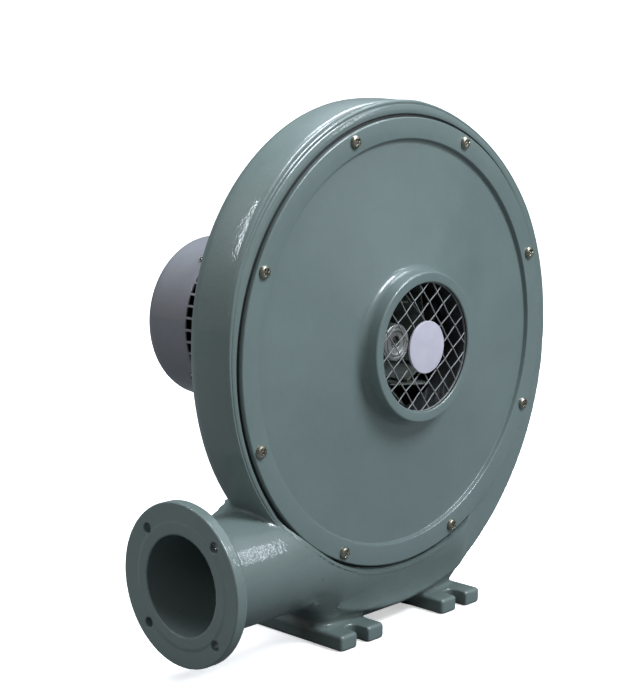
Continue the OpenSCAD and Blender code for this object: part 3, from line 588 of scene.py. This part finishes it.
flange = {
    "r": 72.3, "t": 12.0, "pcd": mounts["outlet_flange"]["dims"]["pcd_mm"],
    "holeR": mounts["outlet_flange"]["dims"]["hole_r_mm"], "shiftY": 1.5,
}


def flangeField(p):
    # outlet flange: a rounded disc with a bore and four holes, filleted onto a short end of pipe
    c = casing
    x = p[..., 0] - c["outletX"]
    y, z = p[..., 1] - c["outletY"], p[..., 2] - c["outletZ"]
    r = np.hypot(y, z)
    disc = roundMax(roundMax(np.hypot(y - flange["shiftY"], z) - flange["r"], -x, 1.2), x - flange["t"], 2.2)
    pipe = np.maximum(r - c["pipeR"], x - flange["t"] - 9)
    solid = roundMin(disc, np.maximum(pipe, 4 - x), 7)
    solid = np.maximum(solid, x - flange["t"] - 8)
    solid = roundMax(solid, c["boreR"] - r, 1.5)
    a = np.abs(np.abs(y) - flange["pcd"] / 2 * math.sqrt(0.5))
    b = np.abs(np.abs(z) - flange["pcd"] / 2 * math.sqrt(0.5))
    return roundMax(solid, flange["holeR"] - np.hypot(a, b), 0.7)


castingFlange = addFieldPiece(
    "castingFlange", flangeField,
    np.arange(casing["outletX"] - 2.2, casing["outletX"] + 24, 1.5),
    np.arange(casing["outletY"] - 74.3, casing["outletY"] + 75, 1.6),
    np.arange(casing["outletZ"] - 74.3, casing["outletZ"] + 75, 1.6),
    "greyEnamel", "stator", ["volute_casing"])

rim = {"innerR": 211.2, "frontY": 29.2, "reach": 12.3, "turns": 480}


def castingRimPart():
    # The raised lip round the cover: a cross-section of (share of the lip's width, y) carried round the
    # drum. Its width runs from the groove to the drum's own edge. Round the bottom, where the lower body
    # stands in front, the lip follows the body's surface instead and sinks into it.
    a = np.linspace(0, 2 * np.pi, rim["turns"], endpoint=False)
    width = np.clip(scrollRadius(np.cos(a), np.sin(a)) + 0.3 - rim["innerR"], 2.6, rim["reach"])[:, None]
    steps = np.array([0.0, 2.5, 5.0, 7.5])
    ys = np.linspace(0, 33, 100)
    r = (rim["innerR"] + steps)[None, :, None] + 0 * ys
    turn = a[:, None, None]
    probe = np.stack([r * np.cos(turn), ys + 0 * r * turn, r * np.sin(turn)], -1)
    below = castingField(probe, False) < 0
    bodyY = np.where(below.any(2), ys[below.argmax(2)], 32.0)
    bodyY = sum(np.roll(bodyY, k, 0) for k in range(-3, 4)) / 7
    degrees = np.degrees(a)
    merged = (ease((degrees - 213) / 14) * ease((352 - degrees) / 26))[:, None]
    y0 = rim["frontY"]
    lip = filleted([
        (0.0, 35.0), (0.0, y0 + 0.6, 0.8), (0.22, y0, 1.6), (0.60, y0 + 0.9, 1.0),
        (0.70, y0 + 2.2, 0.5), (0.80, y0 + 1.0, 0.9), (0.93, y0 + 2.4, 1.2),
        (1.0, y0 + 6.0, 2.0), (1.0, y0 + 9.0), (0.5, y0 + 9.0)], steps=4)
    share, lipY = lip[:, 0][None], lip[:, 1][None]
    out = share * width
    onBody = np.stack([np.interp(out[i], steps, bodyY[i]) for i in range(len(a))])
    sunk = np.where(lipY > y0 + 5.5, lipY, onBody - 0.4 + np.maximum(out - 5, 0) * 1.2)
    y = lipY * (1 - merged) + sunk * merged
    r = rim["innerR"] + share * width
    pts = np.stack([r * np.cos(a)[:, None], y, r * np.sin(a)[:, None]], -1)
    return pts, gridFaces(rim["turns"], len(lip), True, True)


castingRim = addPiece("castingRim", [castingRimPart()], "greyEnamel", "stator", ["volute_casing"], smooth=50)
print("casting made")


cover = {
    "r": 208.0, "backY": 31.0, "rimT": 5.0, "panelR": 187.5, "panelY": 30.4, "dishY": 16.5,
    "ringR": mounts["inlet_ring"]["dims"]["r_mm"], "eyeR": 59.5, "skin": 4.0, "nozzleY": 31.0, "stepR": 191.7,
}
gasket = {"innerR": 192.0, "outerR": 210.6, "frontY": 31.0, "backY": 32.2}


def coverPart():
    # front cover and inlet ring: one filleted profile carried round the shaft
    c = cover
    front = c["backY"] - c["rimT"]
    panelBack, dishBack, nozzleR = c["panelY"] + c["skin"], c["dishY"] + c["skin"], c["eyeR"] + c["skin"]
    profile = filleted([
        (c["eyeR"], c["nozzleY"], 0.8), (c["eyeR"], 0.0, 1.6), (c["ringR"], 0.0, 1.8), (c["ringR"], c["dishY"] + 0.2, 7.0),
        (c["panelR"], c["panelY"], 0.9), (c["panelR"] + 1.2, front, 1.2), (c["r"], front, 1.3), (c["r"], c["backY"], 0.4),
        (c["stepR"], c["backY"], 0.3), (c["stepR"], panelBack, 0.5), (c["panelR"], panelBack, 0.5),
        (80, dishBack + 0.3, 3), (nozzleR, dishBack, 2), (nozzleR, c["nozzleY"], 0.8)], steps=6)
    return lathe(profile, 288)


coverPlate = addPiece("coverPlate", [coverPart()], "coverEnamel", "stator", ["front_cover"], smooth=40)
coverPlate.data.materials.append(finishes["paintedShadeEnamel"])
# the wall of the eye, behind the ring's front edge, gets near-black enamel as painted shade
inside = np.zeros(len(coverPlate.data.polygons) * 3)
coverPlate.data.polygons.foreach_get("center", inside)
inside = inside.reshape(-1, 3) * 1000
inside = (np.hypot(inside[:, 0], inside[:, 2]) < cover["eyeR"] + 0.1) & (inside[:, 1] > 2.5)
coverPlate.data.polygons.foreach_set("material_index", inside.astype(np.int32))
# partly painted shade: the black gasket reaches past the cover's edge into the groove round it, and its black there
# stands for the groove's shadow as well as the rubber's own colour
gasketRing = filleted([
    (gasket["innerR"], gasket["frontY"], 0), (gasket["innerR"], gasket["backY"], 0),
    (gasket["outerR"], gasket["backY"], 0.4), (gasket["outerR"], gasket["frontY"] + 0.2, 0.4)], steps=2)
addPiece("coverGasket", [lathe(gasketRing, 192)], "rubber", "stator", ["cover_gasket"])
print("cover made")


def panHead(radius, height, crossTurn=20.0, rings=22, sides=64):
    # Pan-head screw with a cross recess, head towards -Y. The head is a dome over (ring, angle): height
    # falls off as the fourth power of the radius; the recess is a cross sunk with sloping walls.
    s = np.linspace(0, 1, rings)[:, None]
    a = np.linspace(0, 2 * np.pi, sides, endpoint=False)[None]
    r = radius * np.sin(s * np.pi / 2) ** 0.85
    u, v = r * np.cos(a - math.radians(crossTurn)), r * np.sin(a - math.radians(crossTurn))
    dome = height * (1 - 0.12 * (r / radius) ** 2 - 0.62 * (r / radius) ** 8)
    arm = np.maximum(np.minimum(np.abs(u), np.abs(v)) - 0.085 * radius * 1.15, 0) * 9 / radius
    reach = np.maximum(np.maximum(np.abs(u), np.abs(v)) - 0.5 * radius, 0) * 6 / radius
    sunk = 0.62 * height * np.clip(1 - arm - reach, 0, 1)
    top = np.stack([r * np.cos(a), -(dome - sunk), r * np.sin(a)], -1)
    skirt = np.stack([radius * np.cos(a), 0 * a, radius * np.sin(a)], -1)
    middle = np.zeros((1, sides, 3))
    pts = np.concatenate([top, skirt, middle])
    return pts, gridFaces(rings + 2, sides, False, True)


screws = {"coverCount": 8, "coverTurn": 20.6, "coverR": 200.0, "headR": 5.9, "headH": 3.6, "seatY": 26.0}


def coverScrewParts():
    parts = []
    shank = lathe(filleted([(0, 0), (3, 0), (3, 17, 0.8), (0, 18)], steps=2), 24, False)
    for k in range(screws["coverCount"]):
        turn = screws["coverTurn"] + 360 * k / screws["coverCount"]
        for part in (panHead(screws["headR"], screws["headH"], 17 + 47 * k), shank):
            parts.append(turnedAbout(moved(part, screws["coverR"], screws["seatY"]), turn))
    return parts


addPiece("coverScrews", coverScrewParts(), "zinc", "stator", ["cover_screws"], smooth=50)


guard = {
    "pitch": 14.6, "turn": 37.4, "wireR": 0.62, "reach": 60.4, "midY": 4.0, "offsets": (-1.0, -0.6), "kink": 0.35, "bend": 0.35,
}
badge = {"r": 24.3, "t": 2.3}


def guardWires():
    # woven wires: each is a straight line at its own distance from the centre, kinked over and under its
    # neighbours as a sine of half the pitch, and bent sideways a little
    parts = []
    for way, (turn, offset) in enumerate(((guard["turn"], guard["offsets"][0]), (guard["turn"] + 90, guard["offsets"][1]))):
        for k in range(-4, 5):
            d = offset + k * guard["pitch"]
            if abs(d) > guard["reach"] - 3:
                continue
            half = math.sqrt(guard["reach"] ** 2 - d * d)
            s = np.linspace(-half, half, 90)
            wave = np.cos(np.pi * (s - guard["offsets"][1 - way]) / guard["pitch"] + np.pi * (k + way))
            side = guard["bend"] * np.sin(s / 17 + 2.1 * k + way)
            y = guard["midY"] + guard["kink"] * wave
            path = np.stack([s, y, d + side], -1)
            parts.append(tube(turnedAbout((path, None), turn)[0], guard["wireR"], 10))
    return parts


frameRing = filleted([(58.9, 3.0, 0.5), (61.0, 3.0, 0.3), (61.0, 5.0, 0.3), (58.9, 5.0, 0.5)], steps=3)
addPiece("guardMesh", guardWires() + [lathe(frameRing, 144)], "brightZinc", "stator", ["inlet_guard"], smooth=60)
badgeProfile = filleted([(0, 0.15), (badge["r"], 0.0, 0.7), (badge["r"], badge["t"], 0.5), (0, badge["t"])], steps=5)
addPiece("guardDisc", [lathe(badgeProfile, 128, False)], "disc", "stator", ["guard_badge"])
print("guard made")


wheel = {
    "r": 188.0, "eyeR": 65.5, "frontY": 34.0, "tipY": 46.0, "plateY": 76.0, "plateT": 3.0,
    "bladeR": 37.6, "bladeT": 2.0, "blades": 10, "turn": -7.1, "lead": 7.0,
}
hub = {"r": 17.5, "frontY": 37.0, "holeR": 6.0, "flangeR": 34.0, "flangeY": 72.0, "backY": 79.0}


def bladeParts():
    # flat blade: a grid along its length and across its depth, front edge sloping with the shroud, as a
    # closed strip of rounded thickness; repeated round the hub
    c = wheel
    length = math.sqrt(c["r"] ** 2 - c["bladeR"] ** 2) - 1
    s = np.concatenate([[-c["lead"]], np.linspace(-c["lead"] + 0.4, length - 0.4, 40), [length]])
    fullR = np.hypot(s, c["bladeR"])
    y0 = c["frontY"] + (c["tipY"] - c["frontY"]) * np.clip((fullR - c["eyeR"]) / (c["r"] - c["eyeR"]), 0, 1)
    # across the blade: (share of its thickness, share of its depth), with a slightly rounded front edge
    section = np.array([[0, 0.02], [0.12, 0.004], [0.5, 0], [0.88, 0.004], [1, 0.02], [1, 1], [0, 1]])
    thin = np.where((s <= -c["lead"]) | (s >= length), 0.5, 1.0)
    across = -(c["bladeR"] + c["bladeT"] / 2 + c["bladeT"] * (section[:, 0] - 0.5)[None] * thin[:, None])
    y = y0[:, None] + (c["plateY"] - y0)[:, None] * section[:, 1][None]
    pts = np.stack([s[:, None] + 0 * y, y, across], -1)
    ends = [end.mean(1, keepdims=True).repeat(len(section), 1) for end in (pts[:1], pts[-1:])]
    pts = np.concatenate([ends[0], pts, ends[1]])
    strip = (pts, gridFaces(len(pts), len(section), False, True))
    return [turnedAbout(strip, c["turn"] + 360 * k / c["blades"]) for k in range(c["blades"])]


addPiece("wheelBlades", bladeParts(), "bladeAluminium", "rotor", ["impeller_blades"], smooth=30)
mouthR, mouthY = wheel["eyeR"] + 2, wheel["frontY"] - 7
shroudProfile = filleted([
    (wheel["eyeR"], mouthY, 0.5), (mouthR, mouthY, 0.5), (mouthR, wheel["frontY"] - 2, 3), (wheel["r"], wheel["tipY"] - 2, 0.5),
    (wheel["r"], wheel["tipY"], 0.5), (wheel["eyeR"], wheel["frontY"], 4)], steps=4)
addPiece("wheelShroud", [lathe(shroudProfile, 192)], "sheetAluminium", "rotor", ["impeller_shroud"])
plateBack = wheel["plateY"] + wheel["plateT"]
plateProfile = filleted([
    (hub["r"] + 0.1, wheel["plateY"], 0.3), (wheel["r"], wheel["plateY"], 0.6),
    (wheel["r"], plateBack, 0.6), (hub["r"] + 0.1, plateBack, 0.3)], steps=3)
addPiece("wheelBackplate", [lathe(plateProfile, 192)], "sheetAluminium", "rotor", ["impeller_backplate"])
# turned face of the hub: a chamfered hole, then a ring groove between r 12.6 and 14.3
hubProfile = filleted([
    (hub["holeR"], 48.0), (hub["holeR"], hub["frontY"] + 1.2, 0.8), (10.4, hub["frontY"] + 1.2, 0.6), (11.2, hub["frontY"], 0.5),
    (12.6, hub["frontY"], 0.4), (12.9, hub["frontY"] + 0.8, 0.3), (14.0, hub["frontY"] + 0.8, 0.3), (14.3, hub["frontY"], 0.4),
    (hub["r"], hub["frontY"], 1.6), (hub["r"] + 0.6, hub["flangeY"], 3.0), (hub["flangeR"], hub["flangeY"], 1.2),
    (hub["flangeR"], wheel["plateY"]), (hub["r"], wheel["plateY"]), (hub["r"], hub["backY"], 0.5), (9.5, hub["backY"]),
    (9.5, 48.0)], steps=5)
addPiece("wheelHub", [lathe(hubProfile, 128)], "hubAluminium", "rotor", ["impeller_hub"])

rivets = {"circleR": 26.0, "count": 8, "headR": 4.2, "shankR": 2.5}


def rivetParts():
    # low domed rivet heads on both sides of the hub flange, joined by their shanks
    head, shank, front, back = rivets["headR"], rivets["shankR"], hub["flangeY"], hub["backY"]
    profile = filleted([
        (0, front - 1.7), (head, front - 1.4, 0.9), (head, front), (shank, front),
        (shank, back), (head, back), (head, back + 1.1, 0.9), (0, back + 1.2)], steps=3)
    rivet = lathe(profile, 24, False)
    step = 360 / rivets["count"]
    return [turnedAbout(moved(rivet, rivets["circleR"]), step * (k + 0.5)) for k in range(rivets["count"])]


addPiece("wheelRivets", rivetParts(), "castAluminium", "rotor", ["impeller_rivets"])
print("impeller made")


cowl = {
    "r": 83.0, "startY": 207.0, "endY": 301.0, "round": 12.0, "skin": 1.8, "capR": 14.0,
    "slotY": (215.0, 239.0), "slotTurn": 172.3, "slotStep": 8.3, "slots": 8, "slotHalf": 3.35,
    "rings": 4, "ringR": 24.0, "ringStep": 11.0, "ringDeep": 6.5, "screwY": 247.5, "screwR": 3.9, "edge": 0.4,
}


def cowlPart():
    # Pressed cowl as an open grid of (angle, distance along the profile): straight wall, rounded shoulder,
    # flat back. Grid lines lie on the edges of the slots, and the faces inside slots are left out.
    c = cowl
    shoulder = c["endY"] - c["round"]
    wall = np.concatenate([
        np.linspace(c["startY"], c["slotY"][0], 3)[:-1], np.linspace(*c["slotY"], 5),
        np.linspace(c["slotY"][1], shoulder, 9)[1:]])
    bend = np.radians(np.linspace(0, 90, 9))[1:]
    ringStarts = c["ringR"] + c["ringStep"] * np.arange(c["rings"])
    ringEdges = np.concatenate([[c["capR"]], np.stack([ringStarts, ringStarts + c["ringDeep"]], -1).reshape(-1)])
    flat = ringEdges[::-1]
    radius = np.concatenate([np.full(len(wall), c["r"]), c["r"] - c["round"] + c["round"] * np.cos(bend), flat])
    along = np.concatenate([wall, shoulder + c["round"] * np.sin(bend), np.full(len(flat), c["endY"])])
    spread = (np.arange(c["slots"]) - (c["slots"] - 1) / 2) * c["slotStep"]
    sideCentres = np.concatenate([c["slotTurn"] + 90 * g + spread for g in range(4)])
    cuts = [sideCentres - c["slotHalf"], sideCentres + c["slotHalf"]]
    backSlots = []
    for k, inner in enumerate(ringStarts):
        n = 8 + 4 * k
        centres = np.arange(n) * 360 / n + 7 * k
        half = math.degrees((math.pi * inner / n - 2.2) / (inner + 3))
        backSlots.append((centres, half, inner))
        cuts += [centres - half, centres + half]
    angles = np.unique(np.round(np.concatenate(cuts + [np.arange(0, 360, 3.0)]) % 360, 3))
    angles = angles[np.concatenate([[True], np.diff(angles) > 0.12])]
    a = np.radians(angles)[:, None]
    pts = np.stack([radius[None] * np.cos(a), along[None] + 0 * a, radius[None] * np.sin(a)], -1)
    faces = gridFaces(len(angles), len(radius), True, False)
    nextAngle = np.roll(angles, -1).copy()
    nextAngle[-1] += 360
    middle = ((angles + nextAngle) / 2)[:, None]

    def within(centres, half):
        d = np.abs((middle[..., None] - centres + 180) % 360 - 180)
        return (d < half).any(-1)

    midY = (along[:-1] + along[1:])[None] / 2
    midR = (radius[:-1] + radius[1:])[None] / 2
    hole = within(sideCentres, c["slotHalf"]) & (midY > c["slotY"][0]) & (midY < c["slotY"][1])
    for centres, half, inner in backSlots:
        hole = hole | (within(centres, half) & (midR > inner) & (midR < inner + c["ringDeep"]) & (midY > c["endY"] - 0.01))
    kept = faces[~hole.reshape(-1)]
    # the back's middle is a shallow pressed boss, closed at its centre
    bossR, bossY = np.array([c["capR"], 12.5, 6.0, 0.0])[None], c["endY"] - np.array([0.0, 0.8, 1.0, 1.0])[None]
    boss = np.stack([bossR * np.cos(a), bossY + 0 * a, bossR * np.sin(a)], -1)
    return [(pts, kept), (boss, gridFaces(len(angles), 4, True, False))]


cowlShell = addPiece("fanCowl", cowlPart(), "cowlEnamel", "stator", ["fan_cowl"], smooth=30)
wallThickness = cowlShell.modifiers.new("sheet", "SOLIDIFY")
wallThickness.thickness = cowl["skin"] / 1000
wallThickness.offset = -1
roundEdges = cowlShell.modifiers.new("pressedEdges", "BEVEL")
roundEdges.width = cowl["edge"] / 1000
roundEdges.segments = 2
roundEdges.limit_method = "ANGLE"
roundEdges.angle_limit = math.radians(50)


def cowlScrewParts():
    # four pan heads pointing out of the cowl's side
    parts = []
    head, faces = panHead(cowl["screwR"], 2.4, 35)
    outward = np.stack([cowl["r"] - head[..., 1], cowl["screwY"] + head[..., 0], head[..., 2]], -1)
    for k in range(4):
        parts.append(turnedAbout((outward, faces), cowl["slotTurn"] - 45 + 90 * k))
    return parts


addPiece("cowlScrews", cowlScrewParts(), "zinc", "stator", ["cowl_screws"], smooth=50)
print("cowl made")


for name, source, finish, width in (
        ("motorHousing", "motor_housing", "cowlEnamel", 0.5), ("motorFlange", "front_end_shield", "cowlEnamel", 0.8),
        ("rearShield", "rear_end_shield", "cowlEnamel", 0.6), ("terminalBox", "terminal_box", "cowlEnamel", 0.8),
        ("terminalLid", "terminal_lid", "cowlEnamel", 0.8), ("motorBolts", "motor_bolts", "zinc", 0.4),
        ("motorWashers", "motor_washers", "zinc", 0.3), ("glandBody", "cable_gland", "brass", 0.3),
        ("glandCap", "gland_cap", "brass", 0.4), ("coolingFan", "cooling_fan", "blackPlastic", 0.3),
        ("lidScrews", "lid_screws", "zinc", 0.2), ("terminalBlock", "terminal_block", "blackPlastic", 0.3)):
    softened(name, source, finish, "rotor" if source == "cooling_fan" else "stator", width)

plain = {
    "steel": ["impeller_bolt", "impeller_washer", "shaft_key", "motor_shaft", "rotor_core", "stator_core", "front_bearing_outer",
              "front_bearing_inner", "front_bearing_balls", "rear_bearing_outer", "rear_bearing_inner", "rear_bearing_balls",
              "wave_washer", "fan_circlip"],
    "castAluminium": ["rotor_end_rings"],
    "copper": ["stator_windings"],
    "brass": ["terminal_studs"],
    "zinc": ["tie_rods", "box_screws"],
    "rubber": ["shaft_seal", "terminal_gasket", "gland_seal"],
}
for finish, names in plain.items():
    for name in names:
        mesh = frame["nodes"][name].data
        mesh.materials.clear()
        mesh.materials.append(finishes[finish])
print("motor made")


stage = {"size": 14.0, "wallY": 3.4, "wallTop": 7.0, "curve": 1.2, "turn": -46.0, "glow": 0.5}


def backdrop():
    # floor that sweeps up into a wall: a profile of (y, z) with a round corner, carried along x
    z0 = cadBounds[0][2]
    t = np.radians(np.linspace(0, 90, 16))
    y = np.concatenate([[-stage["size"]], stage["wallY"] - stage["curve"] + stage["curve"] * np.sin(t), [stage["wallY"]]])
    z = np.concatenate([[z0], z0 + stage["curve"] * (1 - np.cos(t)), [stage["wallTop"]]])
    x = np.linspace(-stage["size"], stage["size"], 5)
    turn = math.radians(stage["turn"])
    pts = np.stack([x[:, None] + 0 * y, y[None] + 0 * x[:, None], z[None] + 0 * x[:, None]], -1).reshape(-1, 3)
    m = np.array([[math.cos(turn), -math.sin(turn), 0], [math.sin(turn), math.cos(turn), 0], [0, 0, 1]])
    mesh = bpy.data.meshes.new("paperSweep")
    mesh.from_pydata(pts @ m.T, [], gridFaces(len(x), len(y)).tolist())
    mesh.shade_smooth()
    sweep = bpy.data.objects.new("paperSweep", mesh)
    bpy.context.scene.collection.objects.link(sweep)
    paper, tree, shader, place = startMaterial("matt white paper")
    shader.inputs["Base Color"].default_value = linear("#f6f6f6")
    shader.inputs["Roughness"].default_value = 0.9
    shader.inputs["Specular IOR Level"].default_value = 0.1
    shader.inputs["Emission Color"].default_value = (1, 1, 1, 1)
    shader.inputs["Emission Strength"].default_value = stage["glow"]
    # the paper is seen white, and sends little light back on to the object
    path = node(tree, "ShaderNodeLightPath")
    felt = node(tree, "ShaderNodeBsdfDiffuse", Color=linear("#5a5c5e"))
    mixed = node(tree, "ShaderNodeMixShader", [("Fac", path, "Is Camera Ray")])
    tree.links.new(felt.outputs["BSDF"], mixed.inputs[1])
    tree.links.new(shader.outputs["BSDF"], mixed.inputs[2])
    tree.links.new(mixed.outputs["Shader"], tree.nodes["Material Output"].inputs["Surface"])
    mesh.materials.append(paper)


def areaLight(name, position, target, size, power, along=(0.0, 0.0, 1.0)):
    # faces the target, with its long side along the given direction
    light = bpy.data.lights.new(name, "AREA")
    light.shape = "RECTANGLE"
    light.size, light.size_y = size
    light.energy = power
    light.color = linear("#eef7ff")[:3]
    away = (Vector(position) - Vector(target)).normalized()
    side = Vector(along).cross(away).normalized()
    lamp = bpy.data.objects.new(name, light)
    lamp.matrix_world = Matrix((side, away.cross(side), away)).transposed().to_4x4()
    lamp.location = position
    bpy.context.scene.collection.objects.link(lamp)
    return lamp


backdrop()
middle = (0.0, 0.08, -0.02)
areaLight("topSoftbox", (0.75, 0.42, 2.1), middle, (1.3, 1.3), 68, (0.0, 1.0, 0.0))
areaLight("frontSoftbox", (0.45, -1.6, 1.95), (0.0, 0.0, 0.08), (1.1, 0.9), 88)
areaLight("sideStrip", (-1.30, 1.10, 1.295), (-0.19, 0.045, 0.12), (0.04, 0.9), 5.0, (0.74, 0.0, 0.67))
glint = areaLight("glintStrip", (0.83, -0.85, 0.60), (-0.22, 0.017, -0.155), (0.045, 0.6), 1.6, (0.0, -0.64, -0.77))
glint.visible_diffuse = False
for fill in (areaLight("lowFill", (1.1, -2.2, 0.35), (0.0, 0.0, -0.1), (1.0, 0.8), 19),
             areaLight("floorWash", (-0.6, 1.6, 2.6), (0.3, 2.4, 0.6), (2.5, 1.2), 90),
             areaLight("leftFill", (-2.4, -0.3, 0.9), middle, (1.5, 1.5), 15)):
    fill.visible_glossy = False
world = bpy.data.worlds.new("studio air")
bpy.context.scene.world = world
world.use_nodes = True
world.node_tree.nodes["Background"].inputs["Color"].default_value = linear("#fff3e6")
world.node_tree.nodes["Background"].inputs["Strength"].default_value = 0.21

view = {"position": (-1.0996, -0.9163, 0.2410), "azimuth": -46.03, "elevation": 9.68, "lens": 90.99, "sensor": 36.0}
a, e = math.radians(view["azimuth"]), math.radians(view["elevation"])
back = Vector((math.sin(a) * math.cos(e), -math.cos(a) * math.cos(e), math.sin(e)))
cameraData = bpy.data.cameras.new("camera")
cameraData.sensor_fit = "HORIZONTAL"
cameraData.sensor_width = view["sensor"]
cameraData.lens = view["lens"]
cameraData.clip_end = 60
camera = bpy.data.objects.new("camera", cameraData)
camera.location = view["position"]
camera.rotation_euler = back.to_track_quat("Z", "Y").to_euler()
bpy.context.scene.collection.objects.link(camera)
bpy.context.scene.camera = camera
bpy.context.scene.view_settings.view_transform = "Standard"
print("stage made")
